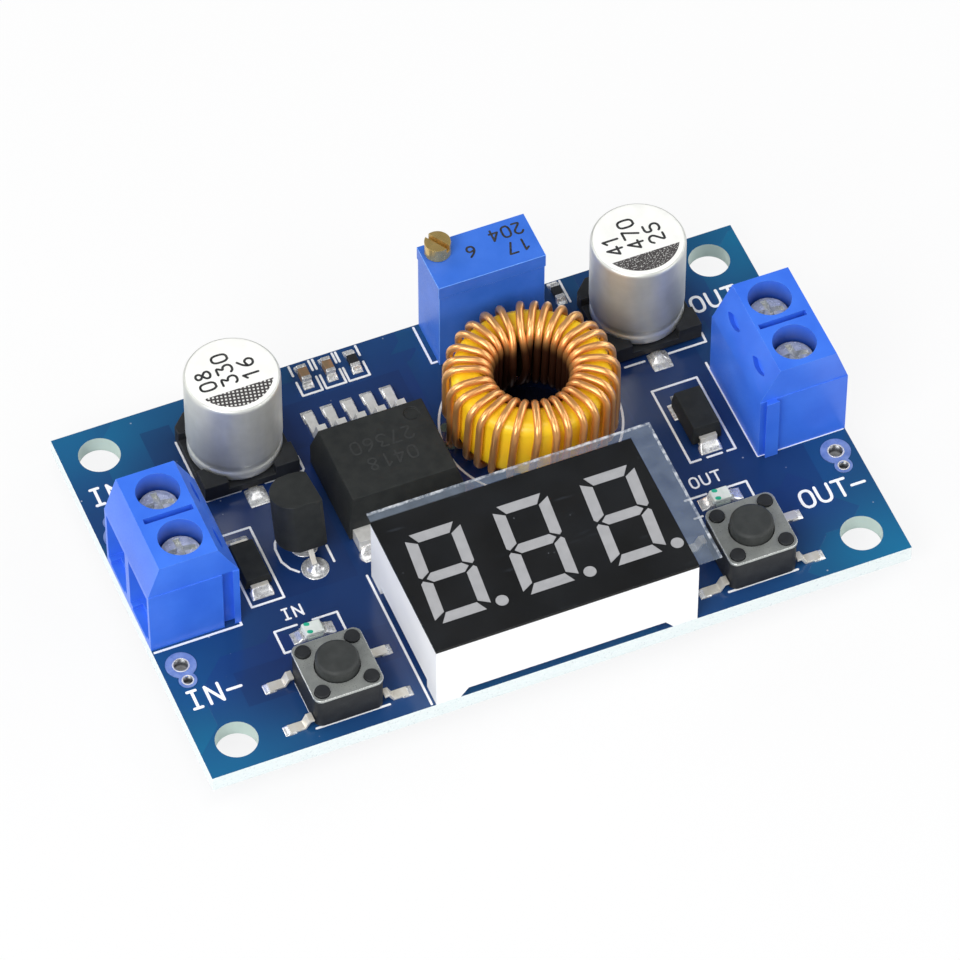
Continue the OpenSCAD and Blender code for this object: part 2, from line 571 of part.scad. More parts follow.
module trimmer_screw() color("goldenrod") on_board(trim_at) translate([adjuster_at.x, adjuster_at.y, trim_h])
    difference() {
        union() {
            translate([0, 0, running_gap]) cylinder(h = adjuster_rise - running_gap, d = adjuster_d);
            translate([0, 0, -adjuster_shaft_l]) cylinder(h = adjuster_shaft_l + 0.2, d = adjuster_shaft_d);
        }
        rotate(adjuster_slot_turn) translate([0, 0, adjuster_rise])
            cube([adjuster_d + 1, adjuster_slot_w, 2 * adjuster_slot_depth], center = true);
    }
module trimmer_pins() color("silver") for (p = trim_pins)
    translate([p.x, p.y, 0]) cylinder(h = board_top + trim_lift, d = p[2], $fn = 24);

// ---- Push buttons ----
cover_t = 0.3;
post_at = 2.12;
post_d = 1.25;
corner_r = 0.7;
case_top = switch_h - cover_t;
dome_d = 4.2;
dome_z = 1.25;
dome_t = 0.1;
flange_d = 4.2;
flange_t = 0.85;
flange_z = case_top - flange_t - running_gap;
module rounded_square(s, r) offset(r, $fn = 32) square(s - 2 * r, center = true);
module switch_base() color("#1c1d20") difference() {
    union() {
        translate([0, 0, 0.1]) linear_extrude(case_top - 0.1) rounded_square(switch_s - 0.1, corner_r);
        for (x = [-1, 1], y = [-1, 1]) translate([x * post_at, y * post_at, case_top - 0.2])
            cylinder(h = cover_t + 0.4, d = post_d, $fn = 24);
    }
    translate([0, 0, dome_z - seat_gap]) cylinder(h = switch_h, d = flange_d + 0.2);
}
module switch_cover() color("silver") difference() {
    translate([0, 0, case_top + seat_gap]) linear_extrude(cover_t - seat_gap) rounded_square(switch_s, corner_r);
    cylinder(h = 10, d = plunger_d + 0.15);
    for (x = [-1, 1], y = [-1, 1]) translate([x * post_at, y * post_at, 0])
        cylinder(h = 10, d = post_d + 0.06, $fn = 24);
}
module switch_button() color("#18191c") {
    translate([0, 0, flange_z]) cylinder(h = flange_t, d = flange_d);
    difference() {
        translate([0, 0, flange_z]) cylinder(h = plunger_top - flange_z, d = plunger_d);
        // A shallow rounded rim.
        translate([0, 0, plunger_top - 0.2]) rotate_extrude() polygon([
            [plunger_d / 2 - 0.2, 0.21], [plunger_d / 2 + 0.1, 0.21], [plunger_d / 2 + 0.1, -0.09]]);
    }
}
// A thin bowed spring that the plunger snaps flat.
module switch_dome() color("silver") translate([0, 0, dome_z]) rotate_extrude() {
    rise = flange_z - seat_gap - dome_z;
    polygon([[0, rise - dome_t], [dome_d * 0.3, rise - dome_t - 0.12], [dome_d / 2 - 0.25, 0], [dome_d / 2, 0],
        [dome_d / 2, dome_t], [dome_d * 0.32, rise - 0.1], [0, rise]]);
}
leg_y = 2.25;
leg_w = 0.85;
leg_t = 0.2;
module switch_legs() color("silver") for (y = [-leg_y, leg_y], side = [0, 1]) translate([0, y, 0])
    mirror([side, 0, 0]) carried_along_y(leg_w) polygon([for (p = [
        [seat_gap, 0.7], [0.35, 0.7], [0.75, 0], [leg_reach, 0], [leg_reach, leg_t], [0.85, leg_t],
        [0.5, 0.7 + leg_t], [seat_gap, 0.7 + leg_t]]) [switch_s / 2 + p[0], p[1] + seat_gap]]);
module input_switch_base() on_board(switch_in_at) switch_base();
module input_switch_cover() on_board(switch_in_at) switch_cover();
module input_switch_button() on_board(switch_in_at) switch_button();
module input_switch_dome() on_board(switch_in_at) switch_dome();
module input_switch_legs() on_board(switch_in_at) switch_legs();
module output_switch_base() on_board(switch_out_at) switch_base();
module output_switch_cover() on_board(switch_out_at) switch_cover();
module output_switch_button() on_board(switch_out_at) switch_button();
module output_switch_dome() on_board(switch_out_at) switch_dome();
module output_switch_legs() on_board(switch_out_at) switch_legs();

// ---- Small regulator, standing on three leads ----
reg_lead_t = 0.44;
reg_lean = 12;            // it was pushed back a little, so its front edge stands higher
reg_half_y = 2.1;         // its two side flats
reg_ridge_drop = 0.2;     // the top falls this far to each side of the moulding line
// Its lean is about the rear edge of its underside.
function reg_underside(y) = reg_lift + (reg_half_y - y) * tan(reg_lean);
module regulator_body() color("#2b2d31") on_board(reg_at)
    translate([0, reg_half_y, reg_lift]) rotate([-reg_lean, 0, 0]) translate([0, -reg_half_y, 0]) intersection() {
        cylinder(h = reg_h, d = reg_d, $fn = 64);
        carried_along_y(2 * reg_half_y) polygon([[-reg_d / 2, 0], [reg_flat_x, 0], [reg_flat_x, reg_h - reg_ridge_drop],
            [0, reg_h], [-reg_d / 2, reg_h - reg_ridge_drop]]);
    }
module regulator_leads() color("silver") on_board(reg_at) for (i = [-1:1]) rotate(90) {
    top = reg_underside(i * 1.27 + reg_lead_t / 2) - seat_gap;
    middle = [[i * 1.27, top], [i * 1.27, top - 0.2], [i * reg_pin_pitch, 0.3], [i * reg_pin_pitch, -board_top]];
    carried_along_y(reg_lead_t) polygon(concat(
        [for (k = [0:3]) middle[k] - [reg_lead_t / 2, 0]],
        [for (k = [3:-1:0]) middle[k] + [reg_lead_t / 2, 0]]));
}

// ---- Converter chip ----
chip_draft = 0.55;
chip_lead_t = 0.4;
chip_tab_t = 1.27;
chip_tab_w = chip_w - 0.6;
module converter_chip_body() color("#3a3c40") on_board(chip_at) difference() {
    intersection() {
        carried_along_y(chip_d) tapered_side(chip_w);
        rotate(90) carried_along_y(chip_w + 1) tapered_side(chip_d);
    }
    block(-chip_tab_w / 2 - seat_gap, chip_tab_w / 2 + seat_gap, -chip_d, chip_d / 2 - 1.5, -1, chip_tab_t + 2 * seat_gap);
    // Round mark beside the first lead.
    translate([chip_w / 2 - 1.9, chip_d / 2 - 1.7, chip_h - 0.15]) cylinder(h = 1, d = 1.3);
}
module tapered_side(w) polygon([
    [-w / 2, 0.1], [w / 2, 0.1], [w / 2, 2.2], [w / 2 - chip_draft, chip_h], [-w / 2 + chip_draft, chip_h], [-w / 2, 2.2]]);
module converter_chip_leads() color("silver") on_board(chip_at) for (i = [-2:2])
    translate([i * chip_pitch, chip_d / 2, 0]) rotate(90) carried_along_y(chip_lead_w) polygon([
        [seat_gap, 1.9], [1.3, 1.9], [2.1, seat_gap], [chip_lead_reach, seat_gap], [chip_lead_reach, chip_lead_t],
        [2.45, chip_lead_t], [1.65, 1.9 + chip_lead_t], [seat_gap, 1.9 + chip_lead_t]]);
module converter_chip_tab() color("silver") on_board(chip_at)
    block(-chip_tab_w / 2, chip_tab_w / 2, -chip_d / 2 - chip_tab_reach, chip_d / 2 - 1.5 - seat_gap, seat_gap,
        chip_tab_t + seat_gap);

// ---- Diodes, along Y ----
module diode_body(w, l, h) color("#2c2e31") intersection() {
    carried_along_y(l) polygon([
        [-w / 2, 0.2], [w / 2, 0.2], [w / 2, h / 2], [w / 2 - 0.15, h], [-w / 2 + 0.15, h], [-w / 2, h / 2]]);
    rotate(90) carried_along_y(w + 1) polygon([
        [-l / 2, 0], [l / 2, 0], [l / 2, h / 2], [l / 2 - 0.15, h], [-l / 2 + 0.15, h], [-l / 2, h / 2]]);
}
module diode_leads(w, l, h) color("silver") for (side = [0, 180]) rotate(side) translate([0, l / 2, 0])
    rotate(90) carried_along_y(w) polygon([
        [seat_gap, h / 2 - 0.1], [0.22, h / 2 - 0.1], [0.22, seat_gap + 0.16], [-0.9, seat_gap + 0.16],
        [-0.9, seat_gap], [0.4, seat_gap], [0.4, h / 2 + 0.1], [seat_gap, h / 2 + 0.1]]);
diode_in = [diode_in_w, 4.2, diode_in_h];
diode_out = [diode_out_w, 4.4, diode_out_h];
diode_lead_w = 1.5;
module input_diode_body() on_board(diode_in_at) diode_body(diode_in[0], diode_in[1], diode_in[2]);
module input_diode_leads() on_board(diode_in_at) diode_leads(diode_lead_w, diode_in[1], diode_in[2]);
module output_diode_body() on_board(diode_out_at) diode_body(diode_out[0], diode_out[1], diode_out[2]);
module output_diode_leads() on_board(diode_out_at) diode_leads(diode_lead_w, diode_out[1], diode_out[2]);

// ---- Indicator lamps, along X ----
led_l = 2;
led_w = 1.25;
led_base_t = 0.35;
lens_t = 0.5;
lens_l = 1.8;
module led_bases() color("honeydew") for (at = [led_in_at, led_out_at]) on_board(at)
    block(-led_l / 2 + 0.35, led_l / 2 - 0.35, -led_w / 2, led_w / 2, seat_gap, led_base_t);
module led_lenses() color("honeydew") for (at = [led_in_at, led_out_at]) on_board(at)
    translate([0, 0, led_base_t]) carried_along_y(led_w) polygon([
        [-lens_l / 2, 0.01], [lens_l / 2, 0.01], [lens_l / 2 - 0.12, lens_t], [-lens_l / 2 + 0.12, lens_t]]);

// ---- Small chip parts, along Y: 1.6 long, with a metal cap at each end ----
chip_part_w = 0.8;
chip_end_l = 0.35;
module chip_part(h) block(-chip_part_w / 2, chip_part_w / 2, -part_l / 2 + chip_end_l, part_l / 2 - chip_end_l,
    seat_gap, h);
module chip_ends(h) for (side = [0, 180]) rotate(side)
    block(-chip_part_w / 2, chip_part_w / 2, part_l / 2 - chip_end_l + 0.005, part_l / 2, seat_gap, h + 0.02);
module ceramic_capacitors() color("peru") for (at = capacitors_at) on_board(at) chip_part(0.8);
module chip_resistors() color("#222222") for (at = resistors_at) on_board(at) chip_part(0.5);
module chip_part_ends() color("silver") {
    for (at = capacitors_at) on_board(at) chip_ends(0.8);
    for (at = resistors_at) on_board(at) chip_ends(0.5);
    for (at = [led_in_at, led_out_at]) on_board(at) for (side = [0, 180]) rotate(side)
        block(led_l / 2 - 0.345, led_l / 2, -led_w / 2, led_w / 2, seat_gap, led_base_t);
}

// ---- Underside: the chip that drives the display, and its small parts ----
driver_l = 6.5;
driver_w = 4.4;
driver_h = 1;
driver_pitch = 0.65;
module under_board(at) translate([at.x, at.y, tail]) mirror([0, 0, 1]) children();
module driver_chip_body() color("#2b2d31") under_board(driver_at)
    block(-driver_l / 2, driver_l / 2, -driver_w / 2, driver_w / 2, 0.1, driver_h);
module driver_chip_leads() color("silver") under_board(driver_at) for (side = [0, 180], i = [-4.5:4.5])
    rotate(side) translate([i * driver_pitch, driver_w / 2, 0]) rotate(90) carried_along_y(0.24) polygon([
        [seat_gap, 0.45], [0.25, 0.45], [0.4, seat_gap], [1, seat_gap], [1, 0.16], [0.5, 0.16],
        [0.35, 0.6], [seat_gap, 0.6]]);
module underside_chip_parts() color("dimgray") for (at = under_parts_at) under_board(at)
    block(-chip_part_w / 2, chip_part_w / 2, -part_l / 2, part_l / 2, seat_gap, 0.5);

// ---- Solder ----
solder_h = 0.9;
// A cone of solder round a pin's tail.
module solder_cone(at, d) translate([at.x, at.y, tail]) mirror([0, 0, 1]) difference() {
    cylinder(h = solder_h, d1 = d + 1.1, d2 = d + 0.3, $fn = 32);
    translate([0, 0, -1]) cylinder(h = solder_h + 2, d = d + 2 * seat_gap, $fn = 32);
}
module underside_solder() color("lightgray") for (p = all_pins) solder_cone(p, p[2]);
// A fillet that runs from a height at the lead's end down to the pad, along +X.
module fillet_x(reach, h, w) carried_along_y(w) polygon([[0.01, 0], [reach, 0], [reach * 0.35, h * 0.4], [0.01, h]]);
module top_solder() color("lightgray") {
    for (at = [cap_in_at, cap_out_at], side = [-90, 90]) on_board(at) rotate(side)
        translate([cap_base / 2 + cap_lead_reach, 0, 0]) fillet_x(1, 0.35, 1.6);
    for (at = [switch_in_at, switch_out_at], side = [0, 180], y = [-leg_y, leg_y]) on_board(at) rotate(side)
        translate([switch_s / 2 + leg_reach, y, 0]) fillet_x(0.5, 0.25, 1);
    for (i = [-2:2]) on_board([chip_at.x + i * chip_pitch, chip_at.y + chip_d / 2 + chip_lead_reach]) rotate(90)
        fillet_x(0.5, 0.35, 1);
    on_board([chip_at.x, chip_at.y - chip_d / 2 - chip_tab_reach]) rotate(-90)
        fillet_x(chip_pad_reach, 0.9, chip_tab_w + 0.4);
    for (d = [[diode_in_at, diode_in[1]], [diode_out_at, diode_out[1]]], side = [-90, 90]) on_board(d[0]) rotate(side)
        translate([d[1] / 2 + 0.4, 0, 0]) fillet_x(0.7, 0.5, 1.9);
    for (at = [led_in_at, led_out_at], side = [0, 180]) on_board(at) rotate(side)
        translate([led_l / 2, 0, 0]) fillet_x(0.9, 0.3, 1.3);
    for (at = concat(capacitors_at, resistors_at), side = [-90, 90]) on_board(at) rotate(side)
        translate([part_l / 2, 0, 0]) fillet_x(0.35, 0.4, 0.8);
    for (p = reg_pins) ring(p, board_top, p[2] + 2 * seat_gap, 2, 0.25);
}

circuit_board();
input_terminal_housing();
input_terminal_contacts();
input_plus_screw();
input_minus_screw();
input_plus_wire_guard();
input_minus_wire_guard();
output_terminal_housing();
output_terminal_contacts();
output_plus_screw();
output_minus_screw();
output_plus_wire_guard();
output_minus_wire_guard();
display_housing();
display_face();
display_segments();
display_pins();
display_film();
inductor_core();
inductor_winding();
input_capacitor_can();
input_capacitor_base();
input_capacitor_leads();
output_capacitor_can();
output_capacitor_base();
output_capacitor_leads();
trimmer_housing();
trimmer_screw();
trimmer_pins();
input_switch_base();
input_switch_cover();
input_switch_button();
input_switch_dome();
input_switch_legs();
output_switch_base();
output_switch_cover();
output_switch_button();
output_switch_dome();
output_switch_legs();
regulator_body();
regulator_leads();
converter_chip_body();
converter_chip_leads();
converter_chip_tab();
input_diode_body();
input_diode_leads();
output_diode_body();
output_diode_leads();
led_bases();
led_lenses();
ceramic_capacitors();
chip_resistors();
chip_part_ends();
driver_chip_body();
driver_chip_leads();
underside_chip_parts();
top_solder();
underside_solder();
wire_pads();
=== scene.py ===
# %% [markdown]
# # An adjustable step-down converter with a three-digit meter
# A small blue circuit board carries two screw terminals, a ring-core inductor, two aluminium
# capacitors, a multi-turn trimmer, two push buttons and a display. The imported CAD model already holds
# every piece at its true size, so this file only gives the pieces their finish: softer edges, smooth
# round forms, print, solder and materials.

# %% Load the fixed frame
import json
import math

import bmesh
import bpy
import numpy as np
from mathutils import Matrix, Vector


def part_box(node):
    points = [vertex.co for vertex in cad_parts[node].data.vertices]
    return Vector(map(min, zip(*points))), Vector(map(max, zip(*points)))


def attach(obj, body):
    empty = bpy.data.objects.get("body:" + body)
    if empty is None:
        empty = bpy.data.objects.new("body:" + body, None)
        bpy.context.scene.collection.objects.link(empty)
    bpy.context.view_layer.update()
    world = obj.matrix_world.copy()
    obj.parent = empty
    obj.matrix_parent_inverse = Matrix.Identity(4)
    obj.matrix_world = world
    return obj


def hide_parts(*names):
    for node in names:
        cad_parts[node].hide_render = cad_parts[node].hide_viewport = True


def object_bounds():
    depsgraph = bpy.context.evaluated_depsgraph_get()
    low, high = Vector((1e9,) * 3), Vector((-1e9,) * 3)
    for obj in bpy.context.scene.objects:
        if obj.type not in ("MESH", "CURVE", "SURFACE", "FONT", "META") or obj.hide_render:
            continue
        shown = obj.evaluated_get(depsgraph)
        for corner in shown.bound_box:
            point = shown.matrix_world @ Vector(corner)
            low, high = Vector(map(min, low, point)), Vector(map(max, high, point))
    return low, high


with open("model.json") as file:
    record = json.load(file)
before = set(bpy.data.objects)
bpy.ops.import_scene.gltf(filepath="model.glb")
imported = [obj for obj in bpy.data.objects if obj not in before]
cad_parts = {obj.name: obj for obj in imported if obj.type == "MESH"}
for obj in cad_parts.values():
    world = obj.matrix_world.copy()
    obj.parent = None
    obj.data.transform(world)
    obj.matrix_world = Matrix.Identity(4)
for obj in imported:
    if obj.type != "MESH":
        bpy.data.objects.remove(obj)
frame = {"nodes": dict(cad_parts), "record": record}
cad_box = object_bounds()
MM = 0.001
BODY_OF = {node: body for body, nodes in frame["record"]["behaviour"]["bodies"].items() for node in nodes}
BOARD = "board_assembly"
ENDS = ("input", "output")
POLES = [f"{end}_{sign}" for end in ENDS for sign in ("plus", "minus")]


# %% [markdown]
# ## Where things are
# Many places are read from the CAD boxes, so these need not be kept in step with the model by hand.
# A box gives a middle and a size, and that is enough to set out print, solder and turned pieces.

# %% Boxes, middles and sizes, in metres unless a name ends in mm
def box(node):
    low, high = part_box(node)
    return np.array(low), np.array(high)


def box_mm(node):
    low, high = box(node)
    return low / MM, high / MM


def middle(node):
    low, high = box(node)
    return (low + high) / 2


def size(node):
    low, high = box(node)
    return high - low


BOARD_TOP = box("circuit_board")[1][2]
BOARD_HALF = size("circuit_board")[:2] / 2
print("board half size, mm:", (BOARD_HALF / MM).round(2), "top at", round(BOARD_TOP / MM, 2))


# %% [markdown]
# ## Three ways to make a surface
# A turned piece is a profile carried round an axis. A wire or a printed line is a section carried along
# a path. A blob of solder is a height over a pad. All three are grids of points worked out as whole
# numpy arrays, and one function turns any grid into a mesh.

# %% A grid of points becomes a mesh
def grid_mesh(name, points, close_u=False, close_v=False, caps=False):
    """points[i, j] is the surface at step i along the first parameter and j along the second."""
    rows, cols = points.shape[:2]
    i = np.arange(rows if close_u else rows - 1)[:, None]
    j = np.arange(cols if close_v else cols - 1)[None, :]
    i2, j2 = (i + 1) % rows, (j + 1) % cols
    corners = [i * cols + j, i2 * cols + j, i2 * cols + j2, i * cols + j2]
    quads = np.stack([np.broadcast_to(c, (i.size, j.size)) for c in corners], -1).reshape(-1, 4)
    faces = quads.tolist()
    if caps:
        faces += [list(range(cols)), list(range(rows * cols - 1, (rows - 1) * cols - 1, -1))]
    mesh = bpy.data.meshes.new(name)
    mesh.from_pydata(points.reshape(-1, 3).tolist(), [], faces)
    mesh.polygons.foreach_set("use_smooth", np.ones(len(mesh.polygons), bool))
    return mesh


def outward(mesh):
    """Merges doubled points and turns every face to the outside."""
    work = bmesh.new()
    work.from_mesh(mesh)
    bmesh.ops.remove_doubles(work, verts=work.verts, dist=1e-7)
    bmesh.ops.dissolve_degenerate(work, edges=work.edges, dist=1e-7)
    bmesh.ops.recalc_face_normals(work, faces=work.faces)
    work.to_mesh(mesh)
    work.free()
    return mesh


def new_object(name, data):
    thing = bpy.data.objects.new(name, data)
    bpy.context.scene.collection.objects.link(thing)
    return thing


def add_piece(name, mesh, material, replaces=(), body=BOARD):
    """Puts a mesh into the scene, gives it the finish of that name, and hangs it on its CAD body."""
    piece = new_object(name, mesh)
    mesh.materials.clear()
    mesh.materials.append(MATERIALS[material])
    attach(piece, body)
    if replaces:
        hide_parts(*replaces)
    return piece


# %% A turned piece
def turned(profile, centre, steps=96):
    """Point (r, z) of the profile goes to centre + (r cos a, r sin a, z), for a round the full circle."""
    r, z = np.asarray(profile, float).T
    a = np.linspace(0, 2 * math.pi, steps, endpoint=False)[:, None]
    points = np.stack([r * np.cos(a), r * np.sin(a), np.broadcast_to(z, (steps, len(z)))], -1)
    return outward(grid_mesh("turned", points + np.array(centre), close_u=True))


def rounded(profile, radius, steps=5):
    """Replaces each inner corner of a profile by an arc that starts radius before the corner.

    The arc is the quadratic curve (1-t)^2 a + 2t(1-t) corner + t^2 b between the two cut points.
    """
    points = [np.asarray(profile[0], float)]
    t = np.linspace(0, 1, steps)[:, None]
    for before, corner, after in zip(profile, profile[1:], profile[2:]):
        before, corner, after = (np.asarray(p, float) for p in (before, corner, after))
        reach = [min(radius, 0.45 * np.linalg.norm(p - corner)) for p in (before, after)]
        a = corner + (before - corner) / np.linalg.norm(before - corner) * reach[0]
        b = corner + (after - corner) / np.linalg.norm(after - corner) * reach[1]
        points.extend((1 - t) ** 2 * a + 2 * t * (1 - t) * corner + t ** 2 * b)
    points.append(np.asarray(profile[-1], float))
    return np.array(points)


# %% A section carried along a path
def swept(path, side, radius, sides=14):
    """A tube round a path: path + radius (cos(a) side + sin(a) up), where up = tangent x side."""
    path, side = np.asarray(path, float), np.asarray(side, float)
    tangent = np.gradient(path, axis=0)
    tangent /= np.linalg.norm(tangent, axis=1, keepdims=True)
    side = side - (side * tangent).sum(1, keepdims=True) * tangent
    side /= np.linalg.norm(side, axis=1, keepdims=True)
    up = np.cross(tangent, side)
    a = np.linspace(0, 2 * math.pi, sides, endpoint=False)[None, :, None]
    points = path[:, None] + radius * (np.cos(a) * side[:, None] + np.sin(a) * up[:, None])
    return grid_mesh("swept", points, close_v=True, caps=True)


# %% [markdown]
# ## Softened copies of CAD pieces
# A moulded or bent piece never has a knife edge: light catches a thin line along each corner. The CAD
# solids are sharp, so a copy of each is merged, its flat faces are joined, and a Bevel modifier rounds
# what is left. The copy then stands for the CAD node. On a blue housing and on a bent cover the rounded
# edges can have a lighter finish of their own, a painted highlight for that thin line of light.

# %% Soften the edges of a CAD node
MERGE_WITHIN = 2e-6                 # metres
FLAT_WITHIN = math.radians(0.6)     # faces that meet flatter than this are one face
SHARP_FROM = math.radians(32)       # edges that bend more than this are rounded


def softened(node, edge, material, segments=2, rim=None):
    """A copy of a CAD node whose edges are rounded by edge millimetres, put in its place.

    rim is the finish of the rounded edges alone, where it differs from that of the faces: a lighter colour,
    which is a painted highlight.
    """
    source = frame["nodes"][node].data
    points = np.zeros(len(source.vertices) * 3)
    source.vertices.foreach_get("co", points)
    corners = np.zeros(len(source.loops), int)
    source.loops.foreach_get("vertex_index", corners)
    mesh = bpy.data.meshes.new(node + "_soft")
    mesh.from_pydata(points.reshape(-1, 3).tolist(), [], corners.reshape(-1, 3).tolist())
    work = bmesh.new()
    work.from_mesh(mesh)
    bmesh.ops.remove_doubles(work, verts=work.verts, dist=MERGE_WITHIN)
    bmesh.ops.dissolve_limit(work, angle_limit=FLAT_WITHIN, verts=work.verts, edges=work.edges)
    for face in work.faces:
        face.smooth = True
    work.to_mesh(mesh)
    work.free()
    piece = add_piece(node + "_finished", mesh, material, [node], BODY_OF[node])
    bevel = piece.modifiers.new("soft_edges", "BEVEL")
    bevel.width = edge * MM
    bevel.segments = segments
    bevel.limit_method = "ANGLE"
    bevel.angle_limit = SHARP_FROM
    bevel.harden_normals = True
    # painted highlight: the rounded edges take the lighter finish
    if rim:
        mesh.materials.append(MATERIALS[rim])
        bevel.material = 1


# %% [markdown]
# ## Materials
# Plastic, plated steel, copper and paint differ in colour, in how sharp their reflections are, and in
# what small unevenness they have. One function builds all of these from two noises: a broad one that
# shifts the colour and the gloss, and a fine one that bends the surface a little.

# %% A finish from two noises
MATERIALS = {}                      # by name


class Nodes:
    """A new material's node tree, with short ways to add and link nodes."""

    def __init__(self, name):
        self.material = MATERIALS[name] = bpy.data.materials.new(name)
        self.material.use_nodes = True
        self.tree = self.material.node_tree
        self.shader = self.tree.nodes["Principled BSDF"]
        self.place = self.add("ShaderNodeTexCoord").outputs["Object"]

    def add(self, kind, **settings):
        node = self.tree.nodes.new(kind)
        for key, value in settings.items():
            setattr(node, key, value)
        return node

    def link(self, source, target):
        self.tree.links.new(source, target)

    def noise(self, grain_mm, detail=3.0, stretch=(1, 1, 1)):
        mapping = self.add("ShaderNodeMapping")
        mapping.inputs["Scale"].default_value = stretch
        self.link(self.place, mapping.inputs["Vector"])
        node = self.add("ShaderNodeTexNoise")
        node.inputs["Scale"].default_value = 1 / (grain_mm * MM)
        node.inputs["Detail"].default_value = detail
        self.link(mapping.outputs["Vector"], node.inputs["Vector"])
        return node.outputs["Fac"]

    def math(self, operation, a, b=0.0, clamp=False):
        node = self.add("ShaderNodeMath", operation=operation, use_clamp=clamp)
        for k, value in enumerate((a, b)):
            if isinstance(value, (int, float)):
                node.inputs[k].default_value = value
            else:
                self.link(value, node.inputs[k])
        return node.outputs[0]

    def xyz(self, vector=None):
        """The three numbers of a vector, or of the place if none is given."""
        split = self.add("ShaderNodeSeparateXYZ")
        self.link(self.place if vector is None else vector, split.inputs[0])
        return split.outputs

    def distance(self, x, y, at):
        """How far a place is from the upright line through the point at, seen from above."""
        x, y = self.math("SUBTRACT", x, float(at[0])), self.math("SUBTRACT", y, float(at[1]))
        return self.math("SQRT", self.math("ADD", self.math("MULTIPLY", x, x), self.math("MULTIPLY", y, y)))

    def within(self, value, low, high):
        """1 where the value lies between the two, else 0."""
        node = self.add("ShaderNodeMath", operation="COMPARE")
        self.link(value, node.inputs[0])
        node.inputs[1].default_value = (low + high) / 2
        node.inputs[2].default_value = (high - low) / 2
        return node.outputs[0]

    def spread(self, value, low, high, new_low=0.0, new_high=1.0, smooth=False):
        """Carries low..high over to new_low..new_high and holds the value at those ends beyond them."""
        node = self.add("ShaderNodeMapRange")
        if smooth:
            node.interpolation_type = "SMOOTHSTEP"
        self.link(value, node.inputs["Value"])
        for key, v in zip(("From Min", "From Max", "To Min", "To Max"), (low, high, new_low, new_high)):
            node.inputs[key].default_value = v
        return node.outputs["Result"]

    def mix(self, factor, a, b):
        node = self.add("ShaderNodeMix", data_type="RGBA")
        self.link(factor, node.inputs[0])
        for socket, value in ((node.inputs[6], a), (node.inputs[7], b)):
            if isinstance(value, (tuple, list)):
                socket.default_value = (*value, 1.0)
            else:
                self.link(value, socket)
        return node.outputs[2]

    def blotches(self, grain_mm, detail, low, high, new_low=0.0, new_high=1.0, stretch=(1, 1, 1)):
        """A noise whose range low..high is carried over to new_low..new_high."""
        return self.spread(self.noise(grain_mm, detail, stretch), low, high, new_low, new_high)

    def specks(self, spacing_mm, core, rim):
        """Dots at random places. Each is 1 inside core and 0 past rim, in shares of the spacing."""
        cells = self.add("ShaderNodeTexVoronoi")
        cells.inputs["Scale"].default_value = 1 / (spacing_mm * MM)
        self.link(self.place, cells.inputs["Vector"])
        return self.spread(cells.outputs["Distance"], core, rim, 1.0, 0.0)

    def bump(self, value, depth_um):
        node = self.add("ShaderNodeBump")
        node.inputs["Distance"].default_value = depth_um * 1e-6
        node.inputs["Strength"].default_value = 1.0
        self.link(value, node.inputs["Height"])
        self.link(node.outputs["Normal"], self.shader.inputs["Normal"])

    def paint(self, colour):
        self.link(colour, self.shader.inputs["Base Color"])

    def constants(self, **values):
        """Sets plain numbers on the shader. Coat_Weight stands for the socket named Coat Weight."""
        for key, value in values.items():
            self.shader.inputs[key.replace("_", " ")].default_value = value

    def surface(self, fine_mm, rough, depth_um, stretch=(1, 1, 1)):
        """One fine noise sets the roughness between the two values of rough and bends the surface."""
        fine = self.noise(fine_mm, 4, stretch)
        self.link(self.spread(fine, 0.3, 0.7, *rough), self.shader.inputs["Roughness"])
        self.bump(fine, depth_um)


COAT_ROUGH = 0.12


def finish(name, colour, other, rough, metal, broad, fine, depth_um, spec=0.5, coat=0.0, stretch=(1, 1, 1)):
    """colour and other are mixed by the broad noise, and rough gives the range of roughness.

    broad and fine are the noises' grain in millimetres, and depth_um is the unevenness in micrometres.
    """
    n = Nodes(name)
    n.paint(n.mix(n.blotches(broad, 4, 0.35, 0.65), colour, other))
    n.surface(fine, rough, depth_um, stretch)
    n.constants(Metallic=metal, Coat_Weight=coat, Coat_Roughness=COAT_ROUGH, Specular_IOR_Level=spec)


WELL_R = 1.85 * MM                  # the wells over the clamping screws
WELL_SHADE = 1.6 * MM               # how far down the shade takes to grow full


def plastic_with_painted_well_shade(name, colour, other, shaded_colour):
    """The finish of the terminals, with painted shade: the colour darkens down in the wells over the screws.

    A place is in a well where its distance from the nearest of the four screws' axes is less than the
    well's radius and it lies below the housing's top.
    """
    n = Nodes(name)
    x, y, z = n.xyz()
    nearest = n.distance(x, y, middle(f"{POLES[0]}_screw"))
    for pole in POLES[1:]:
        nearest = n.math("MINIMUM", nearest, n.distance(x, y, middle(f"{pole}_screw")))
    near = n.spread(nearest, WELL_R, WELL_R + 0.05 * MM, 1.0, 0.0)
    top = float(box("input_terminal_housing")[1][2])
    below = n.spread(z, top - WELL_SHADE, top - 0.1 * MM, 1.0, 0.0)
    body = n.mix(n.blotches(4, 4, 0.35, 0.65), colour, other)
    # painted shade: the body colour goes over to the shaded colour down in each well
    n.paint(n.mix(n.math("MULTIPLY", near, below), body, shaded_colour))
    n.surface(0.15, (0.3, 0.42), 1)


